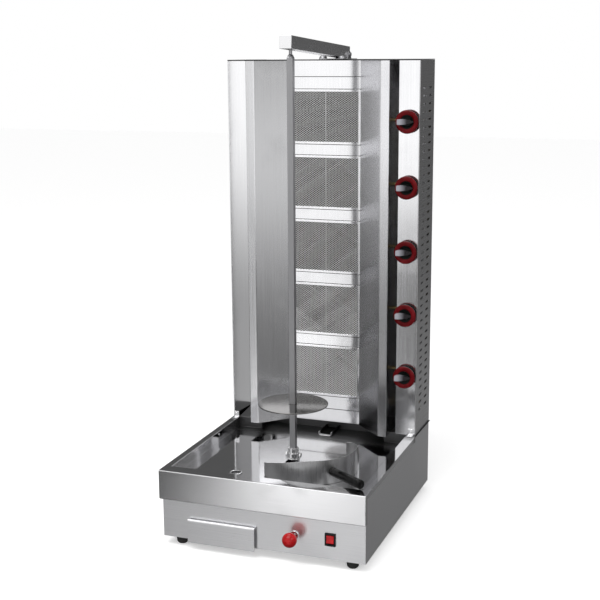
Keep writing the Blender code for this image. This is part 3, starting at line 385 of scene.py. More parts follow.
# the chute blackens deeper in: painted shade inside it, with burnt grease
CHUTE_STEEL = steel("chute_steel", (0.90, 0.90, 0.91), 0.36, POLISH, 0.03, blackening=(0.170, 0.178, 1.0))
SCOOP_STEEL = steel("scoop_steel", (0.50, 0.50, 0.505), 0.30, GRAIN_Z, 0.05)
BAR_STEEL = steel("bar_steel", (0.36, 0.36, 0.37), 0.36, GRAIN_Z, 0.08)
SEAM_STEEL = steel("seam_steel", (0.48, 0.48, 0.48), 0.40, GRAIN_Z, 0.01)
SHADOW_STEEL = steel("shadow_steel", (0.10, 0.10, 0.10), 0.55, GRAIN_X, 0.01)
ARM_STEEL = steel("arm_steel", (0.70, 0.70, 0.71), 0.24, GRAIN_Y, 0.06)
GAUZE_STEEL = steel("gauze_steel", (0.74, 0.74, 0.74), 0.42, WIRE_SKIN, 0.05)
BLACK_GLOSS = moulded("black_gloss", (0.003, 0.003, 0.003), 0.12, 0.0, 0.01, shine=0.16)
BLACK_KNOB = moulded("black_knob", (0.002, 0.004, 0.003), 0.24, 0.0, 0.02, shine=0.10)
BLACK_MATTE = moulded("black_matte", (0.016, 0.016, 0.017), 0.34, 0.1, 0.06)
RED_GLOSS = moulded("red_gloss", (0.46, 0.004, 0.007), 0.10, 0.0, 0.01, shine=0.28)
DARK_RED = moulded("dark_red", (0.110, 0.001, 0.003), 0.22, 0.0, 0.02, shine=0.10)
RUBBER = moulded("black_rubber", (0.018, 0.018, 0.018), 0.75, 0.0, 0.20, 700.0)
CAST_IRON = cast("cast_iron", (0.16, 0.16, 0.17), 0.8, 0.60)
MACHINED_BRASS = cast("machined_brass", (0.34, 0.26, 0.13), 1.0, 0.42)
TILE = pierced_ceramic("pierced_tile")


# ---------------------------------------------------------------- geometry

def new_object(name, bm, finish):
    """Turn a bmesh into an object with its material."""
    mesh = bpy.data.meshes.new(name)
    bm.to_mesh(mesh)
    bm.free()
    mesh.materials.append(finish)
    made = bpy.data.objects.new(name, mesh)
    bpy.context.scene.collection.objects.link(made)
    return made


def piece(name, bm, finish, node, smooth=40):
    """A new piece that rides with a node's body and takes its slot."""
    made = new_object(name, bm, finish)
    made.data.shade_smooth()
    made.data.set_sharp_from_angle(angle=math.radians(smooth))
    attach(made, NODES[node]["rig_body"])
    return made


def stand_in(node, bm, finish, smooth=40):
    """A piece that takes a node's place."""
    made = piece(f"{node}_shaped", bm, finish, node, smooth)
    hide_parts(node)
    return made


def flatten(made):
    """Let the big faces set the shading, so that only the rounded edges catch the light."""
    made.data.shade_smooth()
    weighted = made.modifiers.new("weighted_normals", "WEIGHTED_NORMAL")
    weighted.mode = "FACE_AREA"
    weighted.weight = 100
    weighted.keep_sharp = True


def round_edges(made, width, segments=3, angle=35):
    """Round every sharp edge by one width."""
    bevel = made.modifiers.new("rounded_edges", "BEVEL")
    bevel.width = width
    bevel.segments = segments
    bevel.limit_method = "ANGLE"
    bevel.angle_limit = math.radians(angle)
    flatten(made)


def cleaned(node):
    """A bmesh of a CAD node with its doubled points merged and its flat faces joined."""
    bm = bmesh.new()
    bm.from_mesh(NODES[node].data)
    bmesh.ops.remove_doubles(bm, verts=bm.verts, dist=MERGE)
    bmesh.ops.dissolve_degenerate(bm, edges=bm.edges, dist=MERGE)
    bmesh.ops.dissolve_limit(bm, angle_limit=math.radians(1.0), verts=bm.verts, edges=bm.edges)
    bmesh.ops.recalc_face_normals(bm, faces=bm.faces)
    return bm


def thin(face):
    """True for the narrow face along a sheet's cut edge."""
    around = sum(edge.calc_length() for edge in face.edges)
    return face.calc_area() / (around / 2) < SHEET * 1.1


def room(edge):
    """How far an edge may be cut back: less than half of the shortest edge that it meets."""
    lengths = [other.calc_length() for vert in edge.verts for other in vert.link_edges if other is not edge]
    return 0.42 * min(lengths)


def dressed(node, finish, fold=FOLD, cut=BREAK):
    """A stand-in for a folded or machined node: wide rounding on folds, a fine one on cut edges."""
    bm = cleaned(node)
    weight = bm.edges.layers.float.new("bevel_weight_edge")
    sharp = math.radians(25)
    for edge in bm.edges:
        if len(edge.link_faces) != 2 or edge.calc_face_angle() < sharp:
            continue
        if any(thin(face) for face in edge.link_faces):
            width = cut
        else:
            width = fold if edge.is_convex else fold * 0.4
        edge[weight] = min(width, room(edge)) / fold
    made = stand_in(node, bm, finish, 25)
    bevel = made.modifiers.new("rounded_folds", "BEVEL")
    bevel.width = fold
    bevel.segments = 3
    bevel.limit_method = "WEIGHT"
    bevel.use_clamp_overlap = False
    flatten(made)


def corner(before, at, after, radius, steps=4):
    """Points on a small arc that rounds a profile's corner."""
    before, at, after = Vector(before), Vector(at), Vector(after)
    back = (before - at).normalized()
    ahead = (after - at).normalized()
    reach = min(radius, (before - at).length * 0.45, (after - at).length * 0.45)
    points = []
    for step in range(steps + 1):
        t = step / steps
        points.append(at + back * reach * (1 - t) ** 2 + ahead * reach * t ** 2)
    return [tuple(point) for point in points]


def rounded(profile, radius=0.0005):
    """Round the corners of an open profile, its two ends apart."""
    points = [profile[0]]
    for before, at, after in zip(profile, profile[1:], profile[2:]):
        turn = (Vector(at) - Vector(before)).angle(Vector(after) - Vector(at), 0)
        points += corner(before, at, after, radius) if turn > math.radians(20) else [at]
    return points + [profile[-1]]


def turned(profile, foot, axis, steps=SMOOTH):
    """A turned body.  The profile is (radius, height) and starts and ends on the axis."""
    bm = bmesh.new()
    verts = [bm.verts.new((radius, 0, height)) for radius, height in profile]
    edges = [bm.edges.new(pair) for pair in zip(verts, verts[1:])]
    if profile[0][0] > 0:
        edges.append(bm.edges.new((verts[-1], verts[0])))
    bmesh.ops.spin(bm, geom=verts + edges, cent=(0, 0, 0), axis=(0, 0, 1), angle=math.tau, steps=steps,
                   use_merge=True)
    bmesh.ops.remove_doubles(bm, verts=bm.verts, dist=1e-6)
    turn = Vector(axis).to_track_quat("Z", "Y").to_matrix().to_4x4()
    bmesh.ops.transform(bm, matrix=Matrix.Translation(foot) @ turn, verts=bm.verts)
    bmesh.ops.recalc_face_normals(bm, faces=bm.faces)
    return bm


def arc(centre, radius, start, end, steps):
    """Points on an arc, both ends included, with the angles in radians."""
    angles = [start + (end - start) * step / steps for step in range(steps + 1)]
    return [(centre[0] + radius * math.cos(a), centre[1] + radius * math.sin(a)) for a in angles]


def obround(centre, half_length, radius, steps=6):
    """The outline of a slot with round ends, lying along its first axis."""
    u, v = centre
    reach = half_length - radius
    right = arc((u + reach, v), radius, -math.pi / 2, math.pi / 2, steps)
    return right + arc((u - reach, v), radius, math.pi / 2, 1.5 * math.pi, steps)


def rectangle(low, high, radius=0.0, steps=3):
    """An upright rectangle's outline, with round corners where a radius is given."""
    if radius == 0:
        return [(low[0], low[1]), (high[0], low[1]), (high[0], high[1]), (low[0], high[1])]
    middles = [(high[0] - radius, high[1] - radius), (low[0] + radius, high[1] - radius),
               (low[0] + radius, low[1] + radius), (high[0] - radius, low[1] + radius)]
    points = []
    for quarter, middle in enumerate(middles):
        points += arc(middle, radius, quarter * math.pi / 2, (quarter + 1) * math.pi / 2, steps)
    return points


def spot(axis, u, v, level):
    """A point given across an axis (u, v) and along it (level)."""
    return {"X": (level, u, v), "Y": (u, level, v), "Z": (u, v, level)}[axis]


def plate(outline, holes, low, high, axis):
    """A flat sheet with holes, lying across the axis."""
    bm = bmesh.new()
    edges = []
    for points in [outline, *holes]:
        verts = [bm.verts.new(spot(axis, u, v, low)) for u, v in points]
        edges += [bm.edges.new(pair) for pair in zip(verts, verts[1:] + verts[:1])]
    bmesh.ops.triangle_fill(bm, use_beauty=True, edges=edges)
    made = bmesh.ops.extrude_face_region(bm, geom=bm.faces[:], use_keep_orig=True)["geom"]
    verts = [item for item in made if isinstance(item, bmesh.types.BMVert)]
    bmesh.ops.translate(bm, verts=verts, vec=spot(axis, 0, 0, high - low))
    bmesh.ops.recalc_face_normals(bm, faces=bm.faces)
    return bm


def prism(outline, low, high, axis):
    """A solid of one outline, drawn across the axis."""
    bm = bmesh.new()
    base = bm.faces.new([bm.verts.new(spot(axis, u, v, low)) for u, v in outline])
    made = bmesh.ops.extrude_face_region(bm, geom=[base], use_keep_orig=True)["geom"]
    verts = [item for item in made if isinstance(item, bmesh.types.BMVert)]
    bmesh.ops.translate(bm, verts=verts, vec=spot(axis, 0, 0, high - low))
    bmesh.ops.recalc_face_normals(bm, faces=bm.faces)
    return bm


def join(first, *others):
    """Put several bmeshes into the first, as separate solids of one piece."""
    for other in others:
        mesh = bpy.data.meshes.new("part")
        other.to_mesh(mesh)
        other.free()
        first.from_mesh(mesh)
        bpy.data.meshes.remove(mesh)
    return first


def middle(node):
    """The middle of a node's box."""
    low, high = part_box(node)
    return (low + high) / 2


# ---------------------------------------------------------------- fasteners

def pan_head(radius):
    """A pan-head screw's head, made standing on the origin, with a cross in its top."""
    height = radius * 0.62
    dome = [(0, 0), (radius, 0), (radius, height * 0.35)]
    dome += arc((radius * 0.45, height * 0.35), radius * 0.55, 0, math.radians(62), 5)[1:]
    dome.append((0, dome[-1][1] + height * 0.05))
    head = new_object("head", turned(dome, (0, 0, 0), (0, 0, 1), 32), BRIGHT_STEEL)
    half, long = radius * 0.10, radius * 0.52
    cross = [(-half, -long), (half, -long), (half, -half), (long, -half), (long, half), (half, half),
             (half, long), (-half, long), (-half, half), (-long, half), (-long, -half), (-half, -half)]
    tool = new_object("tool", prism(cross, height * 0.45, height * 2, "Z"), BRIGHT_STEEL)
    cutting = head.modifiers.new("cross", "BOOLEAN")
    cutting.operation = "DIFFERENCE"
    cutting.object = tool
    graph = bpy.context.evaluated_depsgraph_get()
    mesh = bpy.data.meshes.new_from_object(head.evaluated_get(graph))
    bpy.data.objects.remove(head)
    bpy.data.objects.remove(tool)
    return mesh


def screws(name, node, radius, spots):
    """Pan-head screws on a node's body, as one piece.  Each spot is a place and the way it faces."""
    head = pan_head(radius)
    bm = bmesh.new()
    for place, facing in spots:
        copy = head.copy()
        turn = Vector(facing).to_track_quat("Z", "Y").to_matrix().to_4x4()
        copy.transform(Matrix.Translation(place) @ turn)
        bm.from_mesh(copy)
        bpy.data.meshes.remove(copy)
    made = piece(name, bm, BRIGHT_STEEL, node, 35)


def rivets(name, node, radius, spots):
    """Low round rivet heads on a node's body, as one piece."""
    bm = bmesh.new()
    height = radius * 0.45
    dome = [(0, 0), (radius, 0), (radius * 0.92, height * 0.45), (radius * 0.6, height * 0.88), (0, height)]
    for place, facing in spots:
        join(bm, turned(rounded(dome, 0.0004), place, facing, 24))
    made = piece(name, bm, BRIGHT_STEEL, node, 60)


# ---------------------------------------------------------------- base

def base():
    """The base's sheets, the tray, the drawer, the chute and the fasteners."""
    dressed("base_shell", FRONT_STEEL)
    dressed("deck_tray", TRAY_STEEL)
    dressed("base_bottom", SIDE_STEEL)
    dressed("grease_chute", CHUTE_STEEL, 0.0008, 0.0004)
    dressed("carriage_guide", SIDE_STEEL)
    dressed("drip_drawer", FRONT_STEEL, 0.0009, 0.0003)
    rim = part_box("deck_tray")[1].z
    wall_left, wall_back = -0.246, 0.239
    rivets("tray_rivets", "deck_tray", 0.0032,
           [((wall_left, y, rim - 0.008), (1, 0, 0)) for y in (-0.250, -0.110, 0.030)])
    screws("tray_back_screws", "deck_tray", 0.0026,
           [((x, wall_back, rim - 0.012), (0, -1, 0)) for x in (-0.140, 0.085, 0.120)])


def feet():
    """Rubber feet with a bead round the bottom and a waist."""
    profile = [(0, 0), (0.0100, 0), (0.0108, 0.0006), (0.0140, 0.0042), (0.0144, 0.0060), (0.0138, 0.0072),
               (0.0150, 0.0090), (0.0150, 0.0195), (0.0142, 0.0216), (0.0042, 0.0217), (0.0042, 0.0298),
               (0, 0.0300)]
    for node in [name for name in NODES if name.startswith("foot_")]:
        low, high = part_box(node)
        place = ((low.x + high.x) / 2, (low.y + high.y) / 2, low.z)
        stand_in(node, turned(rounded(profile, 0.0008), place, (0, 0, 1)), RUBBER)


def strainer():
    """The drain strainer: a dished flange with a ring of holes, on its pipe."""
    low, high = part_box("drain_strainer")
    x, y = (low.x + high.x) / 2, (low.y + high.y) / 2
    # the strainer is in the dark bar steel: painted shade for the dark of the drain hole
    dressed("drain_strainer", BAR_STEEL, 0.0004, 0.0003)
    ring = [(0.0114, 0), (0.0165, 0), (0.0165, 0.0003), (0.0150, 0.0009), (0.0128, 0.0010), (0.0114, 0.0004)]
    piece("drain_rim", turned(ring, (x, y, high.z - 0.0004), (0, 0, 1)), BRIGHT_STEEL, "drain_strainer", 50)


def pull_knob():
    """The red ball, its rod, the collar behind it and the bush in the wall."""
    low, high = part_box("ball_knob")
    centre = (low + high) / 2
    radius = (high.x - low.x) / 2
    front = low.y
    ball_y = front + radius
    flat = math.radians(72)
    profile = [(0, -radius)] + arc((0, 0), radius, -math.radians(84), flat, 40)
    back = radius * math.sin(flat)
    profile += [(0.0054, back), (0.0054, 0.006), (0, 0.006)]
    stand_in("ball_knob", turned(profile, (centre.x, ball_y, centre.z), (0, 1, 0), 96), RED_GLOSS, 60)
    dressed("slide_rod", BRIGHT_STEEL, 0.0005, 0.0005)
    low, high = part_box("rod_bush")
    bush = [(0.0056, 0), (0.0110, 0), (0.0110, 0.0032), (0.0078, 0.0032), (0.0078, 0.0155), (0.0056, 0.0155)]
    place = ((low.x + high.x) / 2, low.y, (low.z + high.z) / 2)
    ring = [bush[0]] + rounded(bush[:], 0.0007)[1:]
    stand_in("rod_bush", turned(ring, place, (0, 1, 0)), BRIGHT_STEEL, 50)


def carriage():
    """The motor's carriage, the gearbox with its ribs and the finned motor."""
    dressed("carriage_plate", SIDE_STEEL)
    dressed("gearbox", CAST_IRON, 0.0025, 0.0005)
    low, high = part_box("gear_motor")
    profile = [(0, 0), (0.022, 0), (0.022, 0.006), (0.026, 0.008)]
    for fin in range(12):
        start = 0.012 + fin * 0.005
        profile += [(0.026, start), (0.0238, start + 0.0008), (0.0238, start + 0.0030),
                    (0.026, start + 0.0038)]
    profile += [(0.026, 0.0775), (0.020, 0.084), (0.008, 0.084), (0.008, 0.090), (0, 0.090)]
    place = (low.x, (low.y + high.y) / 2, (low.z + high.z) / 2)
    stand_in("gear_motor", turned(rounded(profile, 0.0004), place, (1, 0, 0), 48), CAST_IRON, 45)


def switch():
    """The rocker switch: a rounded bezel and a rocker with a hollow front."""
    low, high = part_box("switch_housing")
    outline = rectangle((low.x, low.z), (high.x, high.z), 0.0022, 4)
    inner = rectangle((low.x + 0.0041, low.z + 0.0045), (high.x - 0.0041, high.z - 0.0045), 0.0008, 3)
    bezel = plate(outline, [inner], low.y, low.y + 0.0020, "Y")
    body_out = rectangle((low.x + 0.003, low.z + 0.003), (high.x - 0.003, high.z - 0.003), 0.0010, 3)
    well = plate(body_out, [inner], low.y + 0.0020, low.y + 0.0205, "Y")
    floor = prism(body_out, low.y + 0.0205, high.y, "Y")
    round_edges(stand_in("switch_housing", join(bezel, well, floor), BLACK_GLOSS), 0.0005)
    dressed("switch_rocker", RED_GLOSS, 0.0008, 0.0008)


def gland():
    """The cable gland: one turned body with a round nut and a cap."""
    low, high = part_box("cable_gland")
    profile = [(0.0050, 0), (0.0098, 0), (0.0098, 0.0093), (0.0140, 0.0093), (0.0140, 0.0170),
               (0.0110, 0.0190), (0.0095, 0.0250), (0.0050, 0.0260)]
    place = ((low.x + high.x) / 2, low.y, (low.z + high.z) / 2)
    body = turned([profile[0]] + rounded(profile, 0.0008)[1:], place, (0, 1, 0))
    stand_in("cable_gland", body, BLACK_MATTE, 45)


# ---------------------------------------------------------------- spit and scoop

def spit():
    """The spit, its driven socket with two hexagon screws, and the disc."""
    dressed("spit_shaft", BAR_STEEL, 0.0007, 0.0005)
    dressed("spit_socket", BRIGHT_STEEL, 0.0008, 0.0005)
    for side in ("left", "right"):
        dressed(f"clamp_screw_{side}", BRIGHT_STEEL, 0.0006, 0.0004)
    low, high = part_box("meat_disc")
    hub_low, top = low.z, high.z
    radius = (high.x - low.x) / 2
    hole = 0.0079
    bore = hole * 1.42                  # a round bore that clears the square hole's corners
    centre = (low + high) / 2
    under = top - 0.003
    profile = [(bore, 0), (0.014, 0), (0.014, under - hub_low), (radius, under - hub_low),
               (radius, top - hub_low), (bore, top - hub_low)]
    rim = [profile[0]] + rounded(profile, 0.0009)[1:]
    disc = turned(rim, (centre.x, centre.y, hub_low), (0, 0, 1), 160)
    outline = [(centre.x + x, centre.y + y) for x, y in arc((0, 0), 0.0135, 0, math.tau * 63 / 64, 63)]
    square = rectangle((centre.x - hole, centre.y - hole), (centre.x + hole, centre.y + hole))
    collar = plate(outline, [square], hub_low + 0.0004, top + 0.0004, "Z")
    stand_in("meat_disc", join(disc, collar), MIRROR_STEEL, 45)


SCOOP_MIDDLE = Vector((0.053, -0.088))
SCOOP_RADIUS = 0.121
SCOOP_START = math.radians(-137)
SCOOP_TURN = math.radians(14)
SCOOP_LEVEL = math.radians(-70)
HOOK_RADIUS = 0.030
HOOK_END = math.radians(105)
GRIP_START = Vector((0.141, -0.170, 0.198))
GRIP_END = Vector((0.241, -0.260, 0.209))


def scoop_rim(point, top):
    """How high the scoop's wall stands: level, then falling away to its open end."""
    angle = math.atan2(point[1] - SCOOP_MIDDLE.y, point[0] - SCOOP_MIDDLE.x)
    share = max((SCOOP_LEVEL - angle) / (SCOOP_LEVEL - SCOOP_START), 0)
    return top - 0.0288 * share ** 1.4


def scoop():
    """The meat scoop, bent from one sheet, with its tang and the black ribbed grip."""
    low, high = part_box("scoop_pan")
    inwards = SCOOP_RADIUS - HOOK_RADIUS
    hook = SCOOP_MIDDLE + inwards * Vector((math.cos(SCOOP_TURN), math.sin(SCOOP_TURN)))
    outline = arc(SCOOP_MIDDLE, SCOOP_RADIUS, SCOOP_START, SCOOP_TURN, 90)
    outline += arc(hook, HOOK_RADIUS, SCOOP_TURN, HOOK_END, 24)[1:]
    bm = bmesh.new()
    bottom = [bm.verts.new((*point, low.z)) for point in outline]
    top = [bm.verts.new((*point, scoop_rim(point, high.z))) for point in outline]
    bm.faces.new(bottom[::-1])
    for first in range(len(outline) - 1):
        bm.faces.new((bottom[first], bottom[first + 1], top[first + 1], top[first]))
    pan = stand_in("scoop_pan", bm, SCOOP_STEEL, 40)
    sheet = pan.modifiers.new("sheet", "SOLIDIFY")
    sheet.thickness = SHEET
    sheet.offset = -1
    sheet.use_even_offset = True
    sheet.use_quality_normals = True
    round_edges(pan, 0.0004, 2, 50)
    along = (GRIP_END - GRIP_START).normalized()
    tang = [(0, 0), (0.004, 0.0005), (0.004, 0.0024), (0, 0.0024)]
    piece("scoop_ferrule", turned(tang, GRIP_START + along * 0.0001, along), BRIGHT_STEEL, "scoop_pan")
    start = GRIP_START + along * 0.0025
    length = (GRIP_END - start).length
    radius = 0.011
    profile = [(0, 0.1090), (0.0045, 0.1090), (0.0045, 0), (radius - 0.0012, 0), (radius - 0.0002, 0.0012),
               (radius - 0.0002, 0.0100), (radius - 0.0012, 0.0112), (radius - 0.0012, 0.0130),
               (radius, 0.0142), (radius, length - 0.0200), (radius - 0.0010, length - 0.0190),
               (radius - 0.0010, length - 0.0170), (radius, length - 0.0160), (radius, length - 0.0040)]
    profile += arc((radius - 0.004, length - 0.004), 0.004, 0, math.pi / 2, 6)[1:]
    profile += [(0.0035, length), (0.0028, length - 0.0012), (0, length - 0.0012)]
    stand_in("scoop_grip", turned(rounded(profile, 0.0006), start, along), BLACK_GLOSS, 50)


# ---------------------------------------------------------------- arm

def arm():
    """The square tube, its cap, the bracket with its domed nuts and the pivot pin."""
    dressed("top_arm", ARM_STEEL, 0.0022, 0.0003)
    dressed("arm_end_cap", BRIGHT_STEEL, 0.0008, 0.0004)
    dressed("arm_bracket", BAR_STEEL, 0.0008, 0.0004)
    dressed("arm_pivot_pin", BAR_STEEL, 0.0006, 0.0004)


# ---------------------------------------------------------------- tower

def tower():
    """The tower's sheets and their fasteners."""
    dressed("left_wall", WALL_STEEL)
    dressed("left_wing", LEFT_REFLECTOR)
    dressed("right_wing", RIGHT_REFLECTOR)
    dressed("control_panel", PANEL_STEEL)
    dressed("top_cover", SIDE_STEEL, 0.0004, 0.0003)
    roof_shadow_strip()
    dressed("rear_cover", SIDE_STEEL)
    low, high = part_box("rear_cover")
    edge = 0.012
    heights = [low.z + edge + (high.z - low.z - 2 * edge) * share for share in (0, 0.333, 0.667, 1)]
    screws("rear_cover_screws", "rear_cover", 0.0032,
           [((x, high.y - 0.0001, z), (0, 1, 0)) for x in (low.x + edge, high.x - edge) for z in heights])
    face = 0.163
    spots = [((-0.251, face - 0.0012, 0.2065), (0, -1, 0)),
             ((0.247, face + 0.0003 - SHEET, 0.2065), (0, -1, 0))]
    screws("tower_foot_screws", "left_wall", 0.0026, spots)


def roof_shadow_strip():
    """A thin black strip of painted shadow under the roof's front edge, from side to side, in the rubber
    finish.
    """
    graph = bpy.context.evaluated_depsgraph_get()
    roof = NODES["top_cover"].evaluated_get(graph).data
    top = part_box("top_cover")[1].z
    bm = bmesh.new()
    bm.from_mesh(roof)
    bmesh.ops.remove_doubles(bm, verts=bm.verts, dist=MERGE)
    walls = [face for face in bm.faces if abs(face.normal.z) < 0.1 and face.normal.y < -0.3]
    strips = []
    for face in walls:
        ordered = sorted(face.verts, key=lambda vert: vert.co.x)
        start, end = ordered[0].co, ordered[-1].co
        strips.append(((start.x, start.y), (end.x, end.y)))
    bm.free()
    made = bmesh.new()
    for start, end in sorted(set(strips)):
        along = (Vector(end) - Vector(start)).normalized()
        out = Vector((along.y, -along.x)) * 0.0003
        inner = -out * 3
        outline = [Vector(start) + out, Vector(end) + out, Vector(end) + inner, Vector(start) + inner]
        join(made, prism([tuple(point) for point in outline], top - 0.0030, top - 0.0001, "Z"))
    piece("roof_shadow_strip", made, RUBBER, "top_cover")


def vent_panel():
    """The right side of the tower with its two columns of round-ended slots."""
    low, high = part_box("side_vent_panel")
    rows, pitch, lowest = 43, 0.020, 0.258
    half_length, half_height = 0.014, 0.0028
    slots = [obround((y, lowest + row * pitch), half_length, half_height)
             for y in (0.208, 0.265) for row in range(rows)]
    outline = rectangle((low.y, low.z), (high.y, high.z))
    made = stand_in("side_vent_panel", plate(outline, slots, low.x, high.x, "X"), SIDE_STEEL)
    round_edges(made, 0.0002, 2)


def burner_rows():
    """The middle height and the box of each burner's tile."""
    return [(middle(f"burner_plaque_{number}"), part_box(f"burner_plaque_{number}")) for number in BURNERS]


WINDOW_HALF = (0.0890, 0.06475)     # half of a burner window, across and up
RIM_WIDTH = 0.0058                  # the pressed rim round each window
RIM_RISE = 0.0010
GROOVE = 0.0018                     # the dark gap round a rim, and along a seam


def frame_ring(centre, inside, outside, radius, low, high):
    """A rectangular ring round a window, from one distance outside its edge to another."""
    outlines = []
    for reach in (outside, inside):
        half = [size + reach for size in WINDOW_HALF]
        outlines.append(rectangle((centre.x - half[0], centre.z - half[1]),
                                  (centre.x + half[0], centre.z + half[1]), radius))
    return plate(outlines[0], [outlines[1]], low, high, "Y")


def burner_frame():
    """The sheet between the wings: five windows in raised rims, and a seam above and below them."""
    low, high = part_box("burner_frame")
    windows = []
    rims = []
    grooves = []
    for centre, _ in burner_rows():
        corner_low = (centre.x - WINDOW_HALF[0], centre.z - WINDOW_HALF[1])
        corner_high = (centre.x + WINDOW_HALF[0], centre.z + WINDOW_HALF[1])
        windows.append(rectangle(corner_low, corner_high, 0.0012))
        rims.append(frame_ring(centre, 0, RIM_WIDTH, 0.0012, low.y - RIM_RISE, low.y))
        grooves.append(frame_ring(centre, RIM_WIDTH, RIM_WIDTH + GROOVE, 0.0012, low.y - 0.0002, low.y))
    sheet = plate(rectangle((low.x, low.z), (high.x, high.z)), windows, low.y, high.y, "Y")
    round_edges(stand_in("burner_frame", join(sheet, *rims), TOWER_STEEL), 0.0003, 2)
    rows = burner_rows()
    above = rows[0][0].z + WINDOW_HALF[1] + RIM_WIDTH + 0.0314
    below = rows[-1][0].z - WINDOW_HALF[1] - RIM_WIDTH - 0.0376
    for z in (above, below):
        seam = [(low.y - 0.0002, z), (low.y, z), (low.y, z + GROOVE), (low.y - 0.0002, z + GROOVE)]
        grooves.append(prism(seam, low.x + 0.001, high.x - 0.001, "X"))
    # the grooves are flat strips of shadow steel: painted shadow in the gaps round the rims and along the
    # seams
    piece("burner_frame_grooves", join(*grooves), SHADOW_STEEL, "burner_frame")


WEAVE_RISE = 0.0056                 # height of one diamond of the gauze
WEAVE_SLOPE = 0.70
WIRE = 0.00082


def gauze(number, centre, front):
    """The crossed wires in front of a burner's tiles, in two layers."""
    half_width = WINDOW_HALF[0] - 0.0005
    half_height = WINDOW_HALF[1] - 0.0005
    reach = half_height + WEAVE_SLOPE * half_width
    bm = bmesh.new()
    for layer, slope in ((0, WEAVE_SLOPE), (1, -WEAVE_SLOPE)):
        y = front + WIRE + layer * WIRE * 1.5
        count = int(reach / WEAVE_RISE) + 1
        for index in range(-count, count + 1):
            ends = clipped(index * WEAVE_RISE, slope, half_width, half_height)
            if ends:
                add_wire(bm, centre, y, ends, WIRE)
    piece(f"burner_gauze_{number}", bm, GAUZE_STEEL, f"burner_plaque_{number}", 60)


def clipped(rise, slope, half_width, half_height):
    """The two ends of the line z = slope * x + rise inside a window, or None."""
    points = []
    for x in (-half_width, half_width):
        z = slope * x + rise
        if abs(z) <= half_height:
            points.append((x, z))
    for z in (-half_height, half_height):
        x = (z - rise) / slope
        if abs(x) < half_width:
            points.append((x, z))
    if len(points) < 2:
        return None
    first, last = min(points), max(points)
    return (first, last) if math.dist(first, last) > 0.004 else None


def add_wire(bm, centre, y, ends, radius):
    """A straight wire with six sides and flat ends."""
    start = Vector((centre.x + ends[0][0], y, centre.z + ends[0][1]))
    end = Vector((centre.x + ends[1][0], y, centre.z + ends[1][1]))
    along = (end - start).normalized()
    across = along.cross(Vector((0, 1, 0)))
    rings = []
    for point in (start, end):
        ring = []
        for step in range(6):
            angle = math.tau * step / 6
            ring.append(bm.verts.new(point + across * (math.cos(angle) * radius)
                                     + Vector((0, 1, 0)) * (math.sin(angle) * radius)))
        rings.append(ring)
    for step in range(6):
        following = (step + 1) % 6
        bm.faces.new((rings[0][step], rings[0][following], rings[1][following], rings[1][step]))
    bm.faces.new(rings[0][::-1])
    bm.faces.new(rings[1])


def burners():
    """Five burners: tiles, gauze and the cast box behind them."""
    for number, (centre, (low, high)) in zip(BURNERS, burner_rows()):
        round_edges(stand_in(f"burner_plaque_{number}", cleaned(f"burner_plaque_{number}"), TILE), 0.0005, 2)
        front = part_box("burner_frame")[0].y
        gauze(number, centre, front)
        seam = prism([(centre.x - 0.0014, front + 0.0002), (centre.x + 0.0014, front + 0.0002),
                      (centre.x + 0.0018, front + 0.0016), (centre.x - 0.0018, front + 0.0016)],
                     centre.z - WINDOW_HALF[1] + 0.0006, centre.z + WINDOW_HALF[1] - 0.0006, "Z")
        piece(f"burner_seam_{number}", seam, SEAM_STEEL, f"burner_plaque_{number}")
        dressed(f"burner_plenum_{number}", CAST_IRON, 0.0015, 0.0005)
    dressed("gas_manifold", MACHINED_BRASS, 0.0006, 0.0004)


# ---------------------------------------------------------------- knobs

KNOB_X = 0.2305


def bar_highlight_finish():
    """Black plastic with a painted highlight: grey at the bar's left end, fading to black towards the knob's
    middle.
    """
    made = moulded("knob_bar_highlight", (0.012, 0.012, 0.013), 0.28, 0.0, 0.02, shine=0.25)
    tree = made.node_tree
    shader = next(node for node in tree.nodes if node.type == "BSDF_PRINCIPLED")
    where = tree.nodes.new("ShaderNodeTexCoord").outputs["Object"]
    split = tree.nodes.new("ShaderNodeSeparateXYZ")
    tree.links.new(where, split.inputs[0])
    ramp = tree.nodes.new("ShaderNodeValToRGB")
    reach = tree.nodes.new("ShaderNodeMapRange")
    tree.links.new(split.outputs["X"], reach.inputs["Value"])
    reach.inputs["From Min"].default_value = KNOB_X - 0.0215
    reach.inputs["From Max"].default_value = KNOB_X + 0.002
    # the grey at the left end is a painted highlight, black from the middle on
    ramp.color_ramp.elements[0].color = (0.36, 0.36, 0.40, 1)
    ramp.color_ramp.elements[0].position = 0.30
    ramp.color_ramp.elements[1].color = (0.014, 0.012, 0.014, 1)
    tree.links.new(reach.outputs[0], ramp.inputs[0])
    tree.links.new(ramp.outputs[0], shader.inputs["Base Color"])
    return made


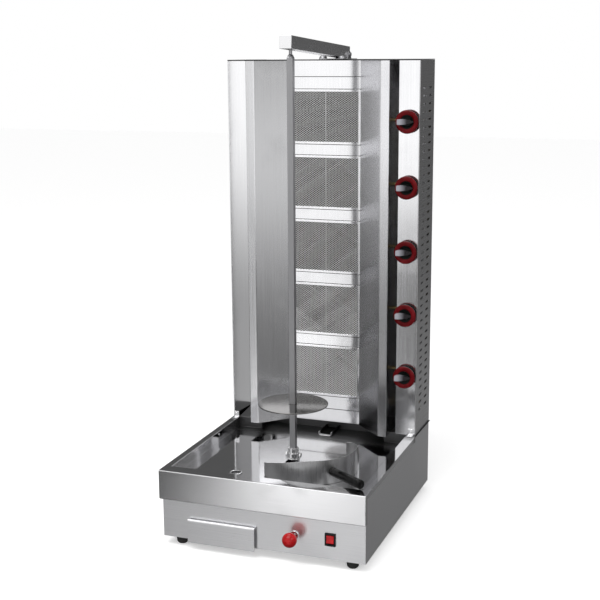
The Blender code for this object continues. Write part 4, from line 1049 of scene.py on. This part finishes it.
def knobs():
    """Five gas knobs: a dark red ring on a black skirt, with a tapered finger bar in a hollow."""
    bar_finish = bar_highlight_finish()
    for number in BURNERS:
        node = f"burner_knob_{number}"
        centre = middle(node)
        x, z = KNOB_X, centre.z
        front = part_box(node)[0].y
        ring_face = front + 0.016
        skirt = [(0, 0.0050), (0.0110, 0.0048), (0.0160, 0.0028), (0.0186, 0.0024), (0.0270, 0.0060),
                 (0.0272, 0.0132), (0.0266, 0.0135), (0.0028, 0.0135), (0.0028, 0.0530), (0, 0.0530)]
        body = turned(rounded(skirt, 0.0006), (x, ring_face, z), (0, 1, 0), 96)
        stand_in(node, body, BLACK_KNOB, 45)
        ring = [(0.0172, 0.0032), (0.0176, 0.0012), (0.0190, 0.0004), (0.0225, 0), (0.0262, 0),
                (0.0286, 0.0010), (0.0295, 0.0030), (0.0295, 0.0050), (0.0286, 0.0058), (0.0190, 0.0058)]
        red = piece(f"knob_ring_{number}", turned(ring, (x, ring_face, z), (0, 1, 0), 96), DARK_RED, node, 50)
        knob_bar(number, node, x, z, front, bar_finish)
        dressed(f"valve_core_{number}", MACHINED_BRASS, 0.0005, 0.0003)


def knob_bar(number, node, x, z, front, finish):
    """The finger bar: wide and high at its left end, running out to a point on the right."""
    outline = [(-0.0215, -0.0066), (-0.0215, 0.0066), (-0.0100, 0.0070), (0.0070, 0.0052), (0.0180, 0.0012),
               (0.0180, -0.0012), (0.0070, -0.0052), (-0.0100, -0.0070)]
    bm = prism([(x + u, z + v) for u, v in outline], front, front + 0.0208, "Y")
    for vert in bm.verts:
        if vert.co.y < front + 0.001:
            along = max((vert.co.x - x + 0.0215) / 0.0395, 0.0)
            vert.co.y += 0.0004 + 0.0125 * along ** 1.3
    round_edges(piece(f"knob_bar_{number}", bm, finish, node, 180), 0.0010, 4)


# ---------------------------------------------------------------- everything

bpy.context.scene.view_settings.view_transform = "Standard"
add_camera()
add_world()
add_light("top_light", (-0.6, -1.6, 3.4), (0, 0, 0.5), 2.4, 60)
add_light("right_light", (2.6, -1.2, 2.2), (0, 0, 0.6), 1.6, 14)
add_floor()
add_backdrop()

base()
feet()
strainer()
pull_knob()
carriage()
switch()
gland()
spit()
scoop()
arm()
tower()
vent_panel()
burner_frame()
burners()
knobs()
